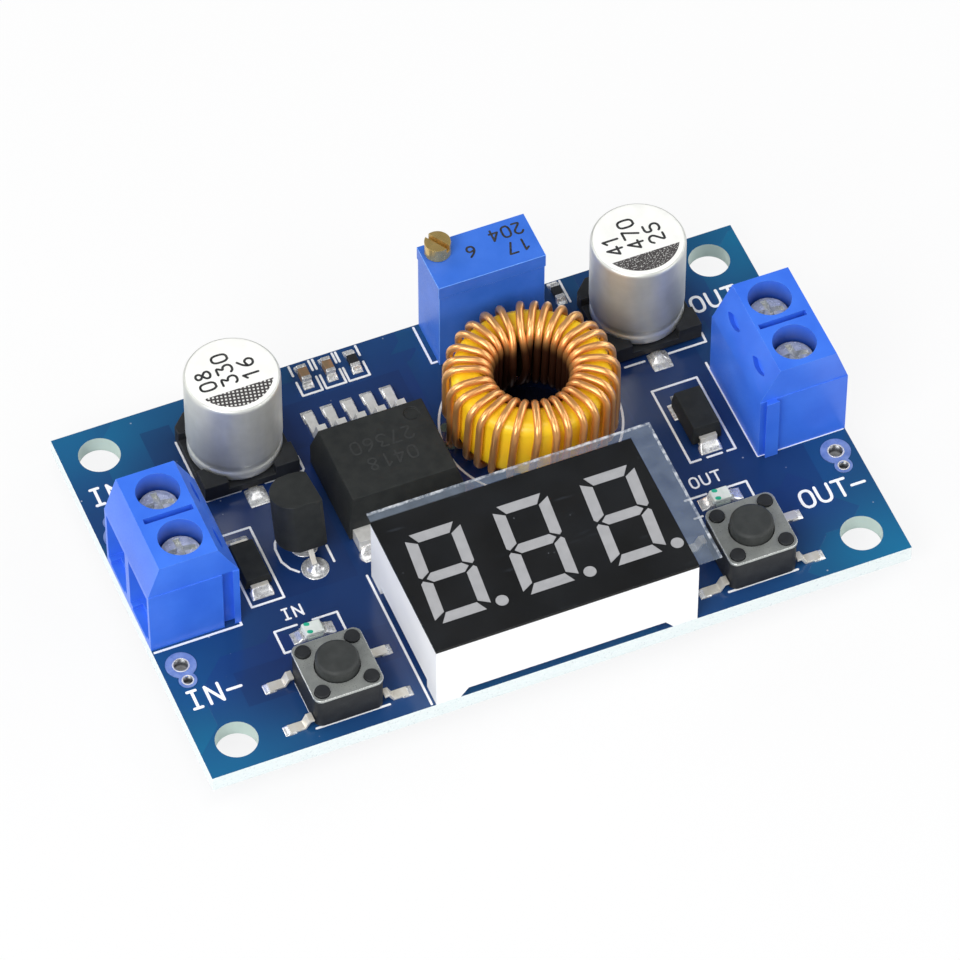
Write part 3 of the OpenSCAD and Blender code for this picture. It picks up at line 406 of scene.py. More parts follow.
# %% The object's finishes
# Each row: two colours, roughness from and to, metal, broad and fine grain in mm, depth in um, and where
# they differ from the usual the specular level, the coat and the stretch of the fine noise.
LOOKS = {
    "trimmer_blue": ((0.03, 0.14, 0.62), (0.045, 0.17, 0.70), (0.34, 0.5), 0.0, 3, 0.15, 1.5),
    "plated_steel": ((0.78, 0.78, 0.76), (0.62, 0.62, 0.60), (0.28, 0.42), 0.75, 0.8, 0.3, 0.8),
    "screw_zinc": ((1.0, 1.0, 0.95), (0.66, 0.68, 0.64), (0.2, 0.3), 0.3, 0.5, 0.3, 1.5),
    "tinned_leads": ((0.94, 0.91, 0.82), (0.84, 0.79, 0.68), (0.28, 0.42), 0.55, 0.6, 0.3, 0.8),
    "switch_steel": ((0.52, 0.54, 0.51), (0.42, 0.44, 0.42), (0.26, 0.38), 0.7, 1.2, 0.1, 0.6),
    "can_aluminium": ((0.74, 0.75, 0.71), (0.66, 0.67, 0.63), (0.42, 0.52), 0.7, 2.0, 0.3, 0.5,
                      0.5, 0.0, (1, 1, 0.1)),
    # painted light: the can's top is a paler, matter copy of the aluminium
    "can_top_painted_light": ((0.97, 0.97, 0.93), (0.91, 0.91, 0.87), (0.5, 0.62), 0.1, 1.5, 0.3, 0.5),
    "solder": ((0.95, 0.95, 0.93), (0.66, 0.66, 0.65), (0.2, 0.34), 0.6, 0.4, 0.3, 4),
    "adjuster_brass": ((0.80, 0.58, 0.22), (0.68, 0.47, 0.16), (0.25, 0.36), 0.8, 0.6, 0.3, 0.8),
    "case_black": ((0.017, 0.018, 0.020), (0.024, 0.026, 0.028), (0.42, 0.6), 0.0, 1.0, 0.08, 2, 0.28),
    "plunger_grey": ((0.030, 0.033, 0.032), (0.040, 0.043, 0.042), (0.5, 0.68), 0.0, 1.0, 0.07, 3, 0.35),
    "chip_black": ((0.017, 0.019, 0.019), (0.024, 0.026, 0.025), (0.5, 0.66), 0.0, 0.9, 0.05, 4, 0.26),
    "display_white": ((0.93, 0.94, 0.95), (0.89, 0.90, 0.92), (0.4, 0.55), 0.0, 3, 0.12, 2),
    "display_black": ((0.009, 0.009, 0.009), (0.012, 0.012, 0.012), (0.3, 0.42), 0.0, 4, 0.2, 0.8, 0.12),
    "segment_grey": ((0.40, 0.40, 0.41), (0.36, 0.36, 0.37), (0.3, 0.42), 0.0, 0.8, 0.12, 2),
    "silk_white": ((0.97, 0.97, 0.98), (0.90, 0.92, 0.94), (0.5, 0.65), 0.0, 0.6, 0.06, 2),
    "ink_black": ((0.02, 0.02, 0.022), (0.05, 0.05, 0.05), (0.5, 0.7), 0.0, 0.3, 0.05, 1, 0.2),
    "laser_grey": ((0.040, 0.042, 0.042), (0.032, 0.034, 0.034), (0.55, 0.7), 0.0, 0.3, 0.05, 1, 0.2),
    "ceramic_brown": ((0.30, 0.17, 0.09), (0.22, 0.15, 0.08), (0.35, 0.5), 0.0, 0.5, 0.08, 2),
    "lens_clear": ((0.90, 0.93, 0.88), (0.80, 0.88, 0.80), (0.12, 0.24), 0.0, 0.5, 0.15, 3, 0.5, 0.5),
    "led_base": ((0.70, 0.78, 0.72), (0.6, 0.7, 0.62), (0.35, 0.5), 0.0, 0.5, 0.1, 2),
    "led_mark": ((0.02, 0.45, 0.26), (0.03, 0.52, 0.32), (0.3, 0.4), 0.0, 0.4, 0.1, 1),
    # The next two rows are lighter copies of the blue plastic and of the steel cover: painted highlights for
    # rounded edges.
    "terminal_rim_highlight": ((0.14, 0.34, 0.92), (0.20, 0.42, 0.96), (0.25, 0.35), 0.0, 0.8, 0.2, 1),
    "cover_rim_highlight": ((0.80, 0.82, 0.80), (0.62, 0.64, 0.62), (0.22, 0.34), 0.7, 0.8, 0.1, 0.6),
    "chip_tin": ((0.95, 0.94, 0.90), (0.84, 0.83, 0.79), (0.3, 0.45), 0.45, 0.5, 0.2, 0.8),
    # painted shade: the tin inside the barrels is dark
    "barrel_tin_painted_shade": ((0.26, 0.27, 0.28), (0.18, 0.18, 0.19), (0.3, 0.4), 0.8, 0.5, 0.2, 0.5),
    "pad_ring": ((0.12, 0.19, 0.46), (0.20, 0.28, 0.56), (0.22, 0.4), 0.0, 0.8, 0.3, 1, 0.5, 0.4),
}
for name, look in LOOKS.items():
    finish(name, *look)
plastic_with_painted_well_shade("terminal_blue", (0.035, 0.15, 0.76), (0.05, 0.19, 0.84), (0.022, 0.075, 0.36))
print("finishes:", len(bpy.data.materials))

# %% [markdown]
# ## The board's own material
# Solder mask is a glossy varnish. Over copper it looks navy, over bare laminate and towards the board's
# edges, where light comes through, it turns teal. The cut edges show the pale glass fibre, and the walls
# of the mounting holes a darker green, which is painted shade. Rectangles and blocky cells stand for the
# copper areas, and the face's direction tells varnish from edge. Little light gets under the ring, so the
# board's upper face is darker there.

# %% Solder mask over copper, pale laminate at the edges
# The large copper areas, each x from and to and y from and to in millimetres.
COPPER_POURS = [(-25.2, -12, -13, -9.4), (-21, -12.2, -4, 7.4), (14.8, 22.5, -13.9, 7.6),
                (-12.3, -1.2, 9.9, 14.6), (22.5, 26.6, -11.6, -5.3), (-23.5, -20.9, 7.6, 16.4),
                (2.2, 14.6, -2, 18.5)]
RING_SHADE = (3.3 * MM, 5.5 * MM)   # full inside the first radius and gone at the second
BORE_INSET = 0.2 * MM               # an upright face this far inside the outline belongs to a hole


def board_mask(n, x, y):
    """The varnish over laminate and over copper, and the copper's share, which also stands out a little."""
    # teal grows from half way out to the board's edges
    near_end = n.spread(n.math("ABSOLUTE", x), 0.5 * BOARD_HALF[0], BOARD_HALF[0], smooth=True)
    near_side = n.spread(n.math("ABSOLUTE", y), 0.45 * BOARD_HALF[1], BOARD_HALF[1], smooth=True)
    edge = n.math("MULTIPLY", n.math("ADD", near_end, near_side), 0.5, clamp=True)
    edge = n.math("POWER", edge, 1.8)
    mask = n.mix(edge, (0.010, 0.036, 0.135), (0.008, 0.150, 0.300))
    # cells of random value, of which those over a half are copper
    cells = n.add("ShaderNodeTexVoronoi", distance="CHEBYCHEV")
    cells.inputs["Scale"].default_value = 1 / (9 * MM)
    cells.inputs["Randomness"].default_value = 0.8
    n.link(n.place, cells.inputs["Vector"])
    cell = n.add("ShaderNodeSeparateColor")
    n.link(cells.outputs["Color"], cell.inputs[0])
    copper = n.spread(cell.outputs[0], 0.5, 0.56, 0.0, 0.45)
    towards_edge = n.spread(edge, 0.0, 1.0, 1.0, 0.5)
    mask = n.mix(n.math("MULTIPLY", copper, towards_edge), mask, (0.012, 0.030, 0.16))
    pour = 0.0
    for x0, x1, y0, y1 in COPPER_POURS:
        inside = n.math("MULTIPLY", n.within(x, x0 * MM, x1 * MM), n.within(y, y0 * MM, y1 * MM))
        pour = n.math("MAXIMUM", inside, pour)
    return n.mix(n.math("MULTIPLY", pour, 0.5), mask, (0.009, 0.026, 0.105)), copper


def board_material():
    """Varnish with haze, shade under the ring and dust on the faces, and glass fibre on the edges, darker in
    the holes as painted shade.
    """
    n = Nodes("solder_mask")
    x, y, _ = n.xyz()
    mask, copper = board_mask(n, x, y)
    hazy = n.mix(n.blotches(6, 3, 0.35, 0.7, 0.0, 0.2), mask, (0.014, 0.06, 0.20))
    _, _, facing_up = n.xyz(n.add("ShaderNodeNewGeometry").outputs["Normal"])
    upward = n.math("GREATER_THAN", facing_up, 0.5)
    near_ring = n.spread(n.distance(x, y, middle("inductor_core")), *RING_SHADE, 0.9, 0.0)
    clear = n.mix(n.math("MULTIPLY", upward, near_ring), hazy, (0.006, 0.005, 0.006))
    dust = n.math("MULTIPLY", n.specks(1.6, 0.03, 0.06), n.blotches(3, 1, 0.5, 0.55))
    varnish = n.mix(n.math("MULTIPLY", dust, 0.5), clear, (0.6, 0.66, 0.72))
    is_face = n.spread(n.math("ABSOLUTE", facing_up), 0.6, 0.8)
    fibre = n.mix(n.blotches(0.3, 2, 0.3, 0.7, stretch=(1, 1, 6)), (0.84, 0.89, 0.89), (0.74, 0.83, 0.83))
    strand = n.blotches(0.16, 2, 0.63, 0.68, 0.0, 0.45, (1, 1, 0.7))
    # painted shade: upright faces inside the outline, the walls of the holes, get a darker laminate colour
    bore_shade = n.math("MULTIPLY", *(n.math("LESS_THAN", n.math("ABSOLUTE", v), float(half) - BORE_INSET)
                                for v, half in zip((x, y), BOARD_HALF)))
    laminate = n.mix(bore_shade, n.mix(strand, fibre, (0.50, 0.56, 0.60)), (0.52, 0.63, 0.58))
    n.paint(n.mix(is_face, laminate, varnish))
    n.link(n.spread(is_face, 0.0, 1.0, 0.6, 0.2), n.shader.inputs["Roughness"])
    n.bump(n.math("ADD", n.noise(0.7, 2), n.math("MULTIPLY", copper, 2.0)), 5)
    n.constants(Coat_Weight=0.25, Coat_Roughness=0.1)


board_material()


def dress(node, material):
    """Gives a CAD node its finish as it stands."""
    mesh = frame["nodes"][node].data
    mesh.materials.clear()
    mesh.materials.append(MATERIALS[material])


softened("circuit_board", 0.05, "solder_mask", segments=1)

# %% [markdown]
# ## Moulded, bent and cut pieces
# Each of these takes a softened copy of its CAD solid. The edge radius follows how the real piece is
# made: moulded housings are round by a tenth of a millimetre, bent sheet and cut leads by less.

# %% Softened pieces
def both(*parts):
    """The same parts of the input side and of the output side."""
    return [f"{end}_{part}" for part in parts for end in ENDS]


# Each row: the finish, the radius of the edges in millimetres, and the CAD nodes.
SOFT = [
    ("terminal_blue", 0.10, both("terminal_housing")),
    ("plated_steel", 0.04, both("terminal_contacts")),
    ("plated_steel", 0.03, [f"{pole}_wire_guard" for pole in POLES]),
    ("screw_zinc", 0.05, [f"{pole}_screw" for pole in POLES]),
    ("display_white", 0.12, ["display_housing"]),
    ("display_black", 0.04, ["display_face"]),
    ("case_black", 0.10, both("capacitor_base")),
    ("tinned_leads", 0.03, both("capacitor_leads", "switch_legs", "diode_leads") + ["regulator_leads"]),
    ("trimmer_blue", 0.08, ["trimmer_housing"]),
    ("adjuster_brass", 0.05, ["trimmer_screw"]),
    ("case_black", 0.08, both("switch_base")),
    ("switch_steel", 0.10, both("switch_cover")),
    ("plunger_grey", 0.12, both("switch_button")),
    ("chip_black", 0.07, ["regulator_body", "converter_chip_body", "driver_chip_body"]),
    ("chip_black", 0.06, both("diode_body")),
    ("chip_tin", 0.03, ["converter_chip_leads", "converter_chip_tab"]),
    ("ceramic_brown", 0.05, ["ceramic_capacitors"]),
    ("case_black", 0.03, ["chip_resistors"]),
    ("solder", 0.05, ["chip_part_ends"]),
    ("led_base", 0.04, ["led_bases"]),
    ("lens_clear", 0.12, ["led_lenses"]),
]
# Painted highlight: the rounded edges of these finishes get a lighter finish, for the line of light along
# them.
EDGE_HIGHLIGHTS = {"terminal_blue": "terminal_rim_highlight", "trimmer_blue": "terminal_rim_highlight", "switch_steel": "cover_rim_highlight"}
for material, edge, nodes in SOFT:
    for node in nodes:
        softened(node, edge, material, rim=EDGE_HIGHLIGHTS.get(material))
AS_THEY_STAND = {
    "display_pins": "tinned_leads", "trimmer_pins": "tinned_leads", "driver_chip_leads": "tinned_leads",
    "input_switch_dome": "switch_steel", "output_switch_dome": "switch_steel",
    "underside_chip_parts": "case_black", "display_segments": "segment_grey",
    "underside_solder": "solder", "top_solder": "solder",
}
for node, material in AS_THEY_STAND.items():
    dress(node, material)
print("softened:", sum(len(nodes) for _, _, nodes in SOFT))

# %% [markdown]
# ## The wire on the ring
# The inductor is one enamelled wire laid tightly round a powdered-iron ring. The path is a helix whose
# loop is a rounded rectangle, a little larger than the ring's own section, and each turn moves round the
# ring by an equal angle. On the outside the turns can't lie perfectly even, so they wander a little, and
# at one side of the hole a few inner runs hang loose and cross.

# %% Copper and core, darker down in the ring's hole
CORE_LOW, CORE_HIGH = box("inductor_core")
CORE_MIDDLE = (CORE_LOW + CORE_HIGH) / 2
CORE_IN_R = 3.85 * MM
HOLE_SHADE = 1.7 * MM               # how far down the hole the shade takes to grow full


def ring_material(name, colour, other, hidden, rough, depth_um, metal=0.0, coat=0.15):
    """Light falls off down the hole: shade = how far in, times how far below the ring's top."""
    n = Nodes(name)
    x, y, z = n.xyz()
    inward = n.spread(n.distance(x, y, CORE_MIDDLE), CORE_IN_R + 0.05 * MM, CORE_IN_R + 0.55 * MM, 1.0, 0.0)
    top = float(CORE_HIGH[2])
    down = n.spread(z, top - HOLE_SHADE, top - 0.1 * MM, 1.0, 0.0, smooth=True)
    bright = n.mix(n.blotches(3, 2, 0.35, 0.65), colour, other)
    n.paint(n.mix(n.math("MULTIPLY", inward, down), bright, hidden))
    n.surface(0.6, rough, depth_um)
    n.constants(Metallic=metal, Coat_Weight=coat, Coat_Roughness=COAT_ROUGH)


ring_material("copper_wire", (0.95, 0.50, 0.18), (0.86, 0.40, 0.125), (0.12, 0.042, 0.02),
              (0.30, 0.38), 0.2, metal=0.75, coat=0.5)
ring_material("core_yellow", (1.0, 0.73, 0.018), (0.95, 0.60, 0.015), (0.02, 0.012, 0.002), (0.35, 0.5), 3)
dress("inductor_core", "core_yellow")
print("hole through the ring, mm:", round(2 * CORE_IN_R / MM, 2))

# %% One wire of thirty turns
CORE_OUT_R = (CORE_HIGH[0] - CORE_LOW[0]) / 2
CORE_HALF_H = (CORE_HIGH[2] - CORE_LOW[2]) / 2
CORE_EDGE_R = 0.9 * MM
WIRE_D = 0.64 * MM
WIRE_GAP = 0.12 * MM
TURNS = 30
LAST_TURN = 0.32                    # the share of the last turn that is not there
COIL_ARC = 356.0                    # degrees that the turns take up
COIL_START = 177.5                  # degrees
SWAY = ((2.2, 3, 20), (1.5, 7, 110), (0.8, 13, 0))      # degrees, waves round the ring, degrees
LOOSE_AT, LOOSE_HALF = 90.0, 13.0   # where the inner runs hang loose into the hole, in degrees
LOOSE_IN, LOOSE_CROSS = 0.9 * MM, 9.0                   # how far in, and how far aside in degrees
RINGS_PER_TURN = 48


def loop_section(turn):
    """(radius, height) of the wire's middle at a place along the helix, turn counted in whole loops.

    The loop is four straight runs and four quarter circles. Each corner takes a quarter of a turn in the
    formula, of which the middle part is the arc, and the rest the run to the next corner.
    """
    path_r = CORE_EDGE_R + WIRE_D / 2 + WIRE_GAP
    middle_r = (CORE_OUT_R + CORE_IN_R) / 2
    half_w = (CORE_OUT_R - CORE_IN_R) / 2 - CORE_EDGE_R
    half_h = CORE_HALF_H - CORE_EDGE_R
    lengths = np.array([math.pi / 2 * path_r, 2 * half_w, math.pi / 2 * path_r, 2 * half_h] * 2)
    ends = np.concatenate([[0], np.cumsum(lengths)])
    s = (turn % 1.0) * ends[-1]
    piece = np.clip(np.searchsorted(ends, s, side="right") - 1, 0, 7)
    share = (s - ends[piece]) / lengths[piece]
    corner_x = np.array([1, 1, -1, -1, -1, -1, 1, 1.0])
    corner_z = np.array([1, 1, 1, 1, -1, -1, -1, -1.0])
    next_x, next_z = np.roll(corner_x, -1), np.roll(corner_z, -1)
    start = np.array([0, 90, 90, 180, 180, 270, 270, 360.0])
    arc = piece % 2 == 0
    a = np.radians(start[piece] + np.where(arc, 90 * share, 0))
    cx = np.where(arc, corner_x[piece], corner_x[piece] + (next_x[piece] - corner_x[piece]) * share)
    cz = np.where(arc, corner_z[piece], corner_z[piece] + (next_z[piece] - corner_z[piece]) * share)
    return middle_r + half_w * cx + path_r * np.cos(a), half_h * cz + path_r * np.sin(a)


def wire_on_ring():
    """The helix (r, angle, z) with r and z from the loop, and with a straight lead at each end.

    The angle grows evenly with the turn. On the outside it sways by a sum of sines, and where the runs
    hang loose a bell curve round that place moves them in and, turn by turn, to one side and the other.
    """
    turn = np.linspace(0, TURNS - LAST_TURN, TURNS * RINGS_PER_TURN)
    r, z = loop_section(turn)
    out = (r - r.min()) / (r.max() - r.min())
    a = COIL_START + COIL_ARC * turn / TURNS
    sway = sum(swing * np.sin(np.radians(waves * a + shift)) for swing, waves, shift in SWAY)
    ends_quiet = np.clip(np.minimum(turn, turn[-1] - turn) / 2, 0, 1)
    depth = np.clip(0.5 - z / (2 * z.max()), 0, 1)
    near = np.exp(-((a - 360 - LOOSE_AT) / LOOSE_HALF) ** 2)
    loose = near * np.sin(math.pi * depth) ** 1.5 * (1 - out) ** 8
    r = r - LOOSE_IN * loose
    a = np.radians(a + out * sway * ends_quiet + LOOSE_CROSS * loose * np.where(turn.astype(int) % 2, 1, -1))
    path = np.stack([r * np.cos(a), r * np.sin(a), z], -1) + CORE_MIDDLE
    first, last = path[0], path[-1]
    drop = np.linspace(0, 1, 12)[:, None]
    lead_in = np.array([first[0] - 0.05 * MM, first[1], BOARD_TOP]) * (1 - drop) + first * drop
    lead_out = last * (1 - drop) + np.array([last[0], last[1], BOARD_TOP]) * drop
    path = np.concatenate([lead_in[:-1], path, lead_out[1:]])
    round_ring = np.cross([0, 0, 1.0], path - [CORE_MIDDLE[0], CORE_MIDDLE[1], 0])
    return outward(swept(path, round_ring, WIRE_D / 2))


coil = add_piece("inductor_wire", wire_on_ring(), "copper_wire", ["inductor_winding"])
print("wire triangles:", 2 * len(coil.data.polygons))

# %% [markdown]
# ## The capacitors' cans
# An aluminium can is drawn from sheet, so its top edge is round, and a bead is rolled in above the base
# to hold the rubber. The profile of the can is carried round its axis. Its radii are those of the solid.
# The top's faces have a finish of their own, paler and matter than the side: painted light on the flat top.

# %% Turned cans
CREASE_Z = 1.2                      # the crease rolled in near the foot


def can_profile(node):
    """(radius, height) from the middle of the bottom, out, up past the bead, and in to the crowned top."""
    low, high = box_mm(node)
    r, h = (high[0] - low[0]) / 2, high[2] - low[2]
    foot = [(0, 0), (r - 0.25, 0), (r - 0.05, 0.3), (r - 0.05, CREASE_Z - 0.35), (r - 0.3, CREASE_Z)]
    side = foot + [(r, CREASE_Z + 0.6), (r, h - 0.02), (r - 0.7, h), (0, h)]
    return rounded(side, 0.45, 7) * MM


for end in ENDS:
    node = f"{end}_capacitor_can"
    low, high = box(node)
    centre = [*middle(node)[:2], low[2]]
    can = add_piece(f"{end}_can", turned(can_profile(node), centre), "can_aluminium", [node])
    # painted light: faces on the top take the paler finish
    can.data.materials.append(MATERIALS["can_top_painted_light"])
    heights = np.empty(3 * len(can.data.polygons))
    can.data.polygons.foreach_get("center", heights)
    on_top = heights[2::3] > high[2] - 0.03 * MM
    can.data.polygons.foreach_set("material_index", on_top.astype(np.int32))
print("cans:", (size("input_capacitor_can") / MM).round(2))

# %% [markdown]
# ## White print
# Print is a thin layer of ink drawn with a round-ended stroke. Letters are short centre lines, made into
# flat ribbons with round ends, one ribbon for each straight piece. The signs for plus and minus, and the
# words for the two ends, say only which wire goes where.

# %% Strokes become ribbons
INK_H = 0.02 * MM
LAYER = 0.0015 * MM                # strokes that cross lie this far over each other


def ribbon(a, b, width, z, steps=7):
    """A flat pill from a to b: its edge is a half circle round b, then one round a, lifted to height z."""
    a, b = np.asarray(a, float), np.asarray(b, float)
    along = (b - a) / max(np.linalg.norm(b - a), 1e-9)
    turn = math.atan2(along[1], along[0])
    t = np.linspace(-math.pi / 2, math.pi / 2, steps)
    cap = np.stack([np.cos(t + turn), np.sin(t + turn)], -1) * width / 2
    edge = np.concatenate([b + cap, a - cap])
    return np.concatenate([edge, np.full((len(edge), 1), z)], -1)


def prism_faces(n, first=0):
    """Underside, top and sides of a prism: n points of the underside come first, then n of the top."""
    faces = [list(range(first + n - 1, first - 1, -1)), list(range(first + n, first + 2 * n))]
    for k in range(first, first + n):
        following = first + (k - first + 1) % n
        faces.append([k, following, n + following, n + k])
    return faces


def printed(name, strokes, width, z, material):
    """strokes are lists of points in millimetres. Every straight piece becomes one closed thin prism."""
    mesh = bpy.data.meshes.new(name)
    verts, faces = [], []
    for stroke in strokes:
        for a, b in zip(stroke, stroke[1:]):
            lift = (len(verts) // 7 % 5) * LAYER
            edge = ribbon(np.array(a) * MM, np.array(b) * MM, width * MM, z + lift)
            faces += prism_faces(len(edge), len(verts))
            verts += edge.tolist() + (edge + [0, 0, INK_H]).tolist()
    mesh.from_pydata(verts, [], faces)
    add_piece(name, mesh, material)


# Each sign is a list of strokes in a box about 0.62 wide and 1 high.
STROKES = {
    "I": [[(0.1, 0), (0.5, 0)], [(0.3, 0), (0.3, 1)], [(0.1, 1), (0.5, 1)]],
    "N": [[(0, 0), (0, 1), (0.62, 0), (0.62, 1)]],
    "O": [[(0.2, 0), (0.45, 0), (0.62, 0.18), (0.62, 0.82), (0.45, 1), (0.2, 1), (0, 0.82), (0, 0.18),
           (0.2, 0)]],
    "U": [[(0, 1), (0, 0.18), (0.18, 0), (0.44, 0), (0.62, 0.18), (0.62, 1)]],
    "T": [[(0, 1), (0.66, 1)], [(0.33, 1), (0.33, 0)]],
    "+": [[(0, 0.45), (0.66, 0.45)], [(0.33, 0.12), (0.33, 0.78)]],
    "-": [[(0, 0.45), (0.66, 0.45)]],
    "0": [[(0.15, 0), (0.45, 0), (0.6, 0.2), (0.6, 0.8), (0.45, 1), (0.15, 1), (0, 0.8), (0, 0.2),
           (0.15, 0)]],
    "1": [[(0.05, 0.8), (0.3, 1), (0.3, 0)]],
    "2": [[(0, 0.8), (0.15, 1), (0.45, 1), (0.6, 0.82), (0.6, 0.62), (0, 0), (0.62, 0)]],
    "3": [[(0, 1), (0.58, 1), (0.25, 0.6), (0.5, 0.55), (0.6, 0.38), (0.6, 0.18), (0.45, 0), (0.12, 0),
           (0, 0.15)]],
    "4": [[(0.45, 0), (0.45, 1), (0, 0.3), (0.62, 0.3)]],
    "5": [[(0.58, 1), (0.06, 1), (0.03, 0.55), (0.4, 0.6), (0.6, 0.42), (0.6, 0.16), (0.42, 0), (0.12, 0),
           (0, 0.12)]],
    "6": [[(0.5, 1), (0.15, 0.7), (0, 0.35), (0.12, 0.04), (0.45, 0), (0.6, 0.2), (0.58, 0.42), (0.4, 0.56),
           (0.05, 0.42)]],
    "7": [[(0, 1), (0.6, 1), (0.22, 0)]],
    "8": [[(0.3, 0.54), (0.08, 0.7), (0.1, 0.92), (0.3, 1), (0.5, 0.92), (0.52, 0.7), (0.3, 0.54),
           (0.02, 0.34), (0.04, 0.1), (0.3, 0), (0.56, 0.1), (0.58, 0.34), (0.3, 0.54)]],
}
ROUND_LETTERS = "OU0235689"
LETTER_W = 0.62


def lettering(word, x, y, height, gap=0.32, turn=0.0):
    """The word's strokes, in millimetres, from its lower left corner, turned by an angle in degrees.

    A point (px, py) of a letter goes to (x, y) + height * rotation * (pen + px, py).
    """
    strokes, pen = [], 0.0
    c, s = math.cos(math.radians(turn)), math.sin(math.radians(turn))
    for letter in word:
        for stroke in STROKES[letter]:
            line = rounded(stroke, 0.3, 4) if letter in ROUND_LETTERS else np.array(stroke)
            flat = (line + [pen, 0]) * height
            strokes.append((flat @ np.array([[c, s], [-s, c]]) + [x, y]).tolist())
        pen += LETTER_W + gap
    return strokes


# %% Words on the board
SINK = 0.01 * MM                    # how far ink on a part reaches into it
TOP_Z = BOARD_TOP - 0.004 * MM      # ink on the board
large = lettering("IN-", -29.5, -11.55, 1.75) + lettering("OUT-", 24.1, -11.55, 1.7, 0.26)
large += lettering("IN+", -29.5, 10.7, 1.7) + lettering("OUT+", 24.0, 10.8, 1.6, 0.3)
small = lettering("IN", -19.4, -6.0, 1.05) + lettering("OUT", 16.4, -6.2, 1.05)
printed("words_large", large, 0.26, TOP_Z, "silk_white")
printed("words_small", small, 0.17, TOP_Z, "silk_white")
print("strokes in words:", len(large) + len(small))

# %% Outlines round the parts
def arc(cx, cy, r, start, end, steps=24):
    t = np.radians(np.linspace(start, end, steps))
    return list(zip(cx + r * np.cos(t), cy + r * np.sin(t)))


# In millimetres: terminals, cans, trimmer, ring, display, buttons, lamps, regulator, diodes, and last
# one small part by itself.
coil_x, coil_y = CORE_MIDDLE[:2] / MM
outlines = [
    [(22.66, 5.56), (22.69, -5.09), (30.3, -5.09)],
    [(-30.3, -5.1), (-22.8, -5.1), (-22.8, 5.5)],
    [(-21.04, 14.4), (-21.04, 7.9), (-20.84, 7.7), (-17.93, 7.7)],
    [(-15.73, 7.7), (-12.44, 7.7), (-12.3, 7.9), (-12.3, 9.26)],
    [(16.26, 7.65), (18.0, 7.65)],
    [(20.2, 7.65), (23.57, 7.65), (23.6, 8.63)],
    [(1.6, 18.27), (1.6, 14.16), (2.4, 14.16)],
    arc(coil_x, coil_y, 7.6, 0, 360, 72),
    [(-11.6, -4.33), (-11.6, -18.3)],
    [(-20.9, -12.25), (-20.9, -15.4)],
    [(-21.0, -17.03), (-14.7, -17.03)],
    [(14.9, -17.03), (21.0, -17.03)],
    [(20.9, -15.4), (20.9, -12.25)],
    [(-18.7, -6.8), (-20.63, -6.8), (-20.63, -9.1), (-20.1, -9.1)],
    [(-17.3, -6.8), (-15.2, -6.8), (-15.2, -8.7)],
    [(15.3, -7.1), (17.2, -7.1)],
    [(15.3, -9.1), (16.0, -9.1)],
    [(18.9, -7.1), (20.75, -7.1), (20.75, -9.0)],
    [(-16.7, 2.27), (-17.3, 1.6), (-17.5, 1.0), (-17.5, -0.4), (-17.1, -1.3), (-16.56, -1.88)],
    [(-13.5, -0.22), (-13.5, -1.94)],
    [(-21.4, -3.8), (-18.6, -3.8), (-18.6, 3.9), (-21.4, 3.9), (-21.4, -3.8)],
    [(18.2, -3.63), (17.29, -3.63), (17.29, 4.45), (21.33, 4.45), (21.33, -3.63), (20.6, -3.63)],
    [(18.8, -3.63), (20.1, -3.63)],
    [(14.8, 18.3), (14.8, 15.9)],
]
for x0, x1 in ((-9.55, -7.8), (-7.45, -5.7), (-5.4, -3.6)):       # the three small parts in a row
    outlines += [[(x0, 16.5), (x0, 15.0), (x1, 15.0), (x1, 16.5)]]
    outlines += [[(x, 17.25), (x, 18.3)] for x in (x0, x1)]
printed("outlines", outlines, 0.2, TOP_Z, "silk_white")
print("outlines:", len(outlines))

# %% [markdown]
# ## Marks on the parts
# The can tops carry a printed half-moon on the side of the minus lead, with plain numbers beside it. The
# numbers are generic: a value in plain digits. The trimmer and the chip have numbers of their own. The
# half-moon's ink is dotted, as a fine grid on one can and as specks on the other.

# %% Ink that lets the metal show through
GRID_STEP, GRID_TURN = 0.34 * MM, math.radians(12)


def stripe_material(name, grid):
    """Dark ink with bright gaps: a fine square grid of gaps, or specks where a noise is high."""
    n = Nodes(name)
    if grid:
        mapping = n.add("ShaderNodeMapping")
        mapping.inputs["Rotation"].default_value = (0, 0, GRID_TURN)
        mapping.inputs["Scale"].default_value = (1 / GRID_STEP,) * 3
        n.link(n.place, mapping.inputs["Vector"])
        u, v, _ = n.xyz(mapping.outputs["Vector"])
        bright = n.math("MULTIPLY", *(n.math("GREATER_THAN", n.math("FRACT", w), 0.5) for w in (u, v)))
    else:
        bright = n.blotches(0.12, 2, 0.56, 0.62, 0.0, 0.7)
    n.paint(n.mix(bright, (0.05, 0.045, 0.045), (0.75, 0.75, 0.72)))
    n.link(n.blotches(0.2, 2, 0.3, 0.7, 0.4, 0.55), n.shader.inputs["Roughness"])
    n.constants(Specular_IOR_Level=0.4)


stripe_material("stripe_grid", grid=True)
stripe_material("stripe_specks", grid=False)

# %% Half-moons and plain numbers
MOON_FROM, MOON_TO = 208, 332      # degrees of the arc
MOON_INSET = 0.6                    # from the can's side, in millimetres
MOON_LOW, MOON_HIGH = -0.018 * MM, 0.012 * MM           # from the can's top


def half_moon(name, node, ink):
    """A thin disc segment on the can's top: the arc from MOON_FROM to MOON_TO and its chord."""
    low, high = box_mm(node)
    cx, cy = middle(node)[:2] / MM
    edge = np.array(arc(cx, cy, (high[0] - low[0]) / 2 - MOON_INSET, MOON_FROM, MOON_TO, 40)) * MM
    under, top = (np.insert(edge, 2, box(node)[1][2] + z, 1) for z in (MOON_LOW, MOON_HIGH))
    mesh = bpy.data.meshes.new(name)
    mesh.from_pydata(np.concatenate([under, top]).tolist(), [], prism_faces(len(edge)))
    add_piece(name, outward(mesh), ink)


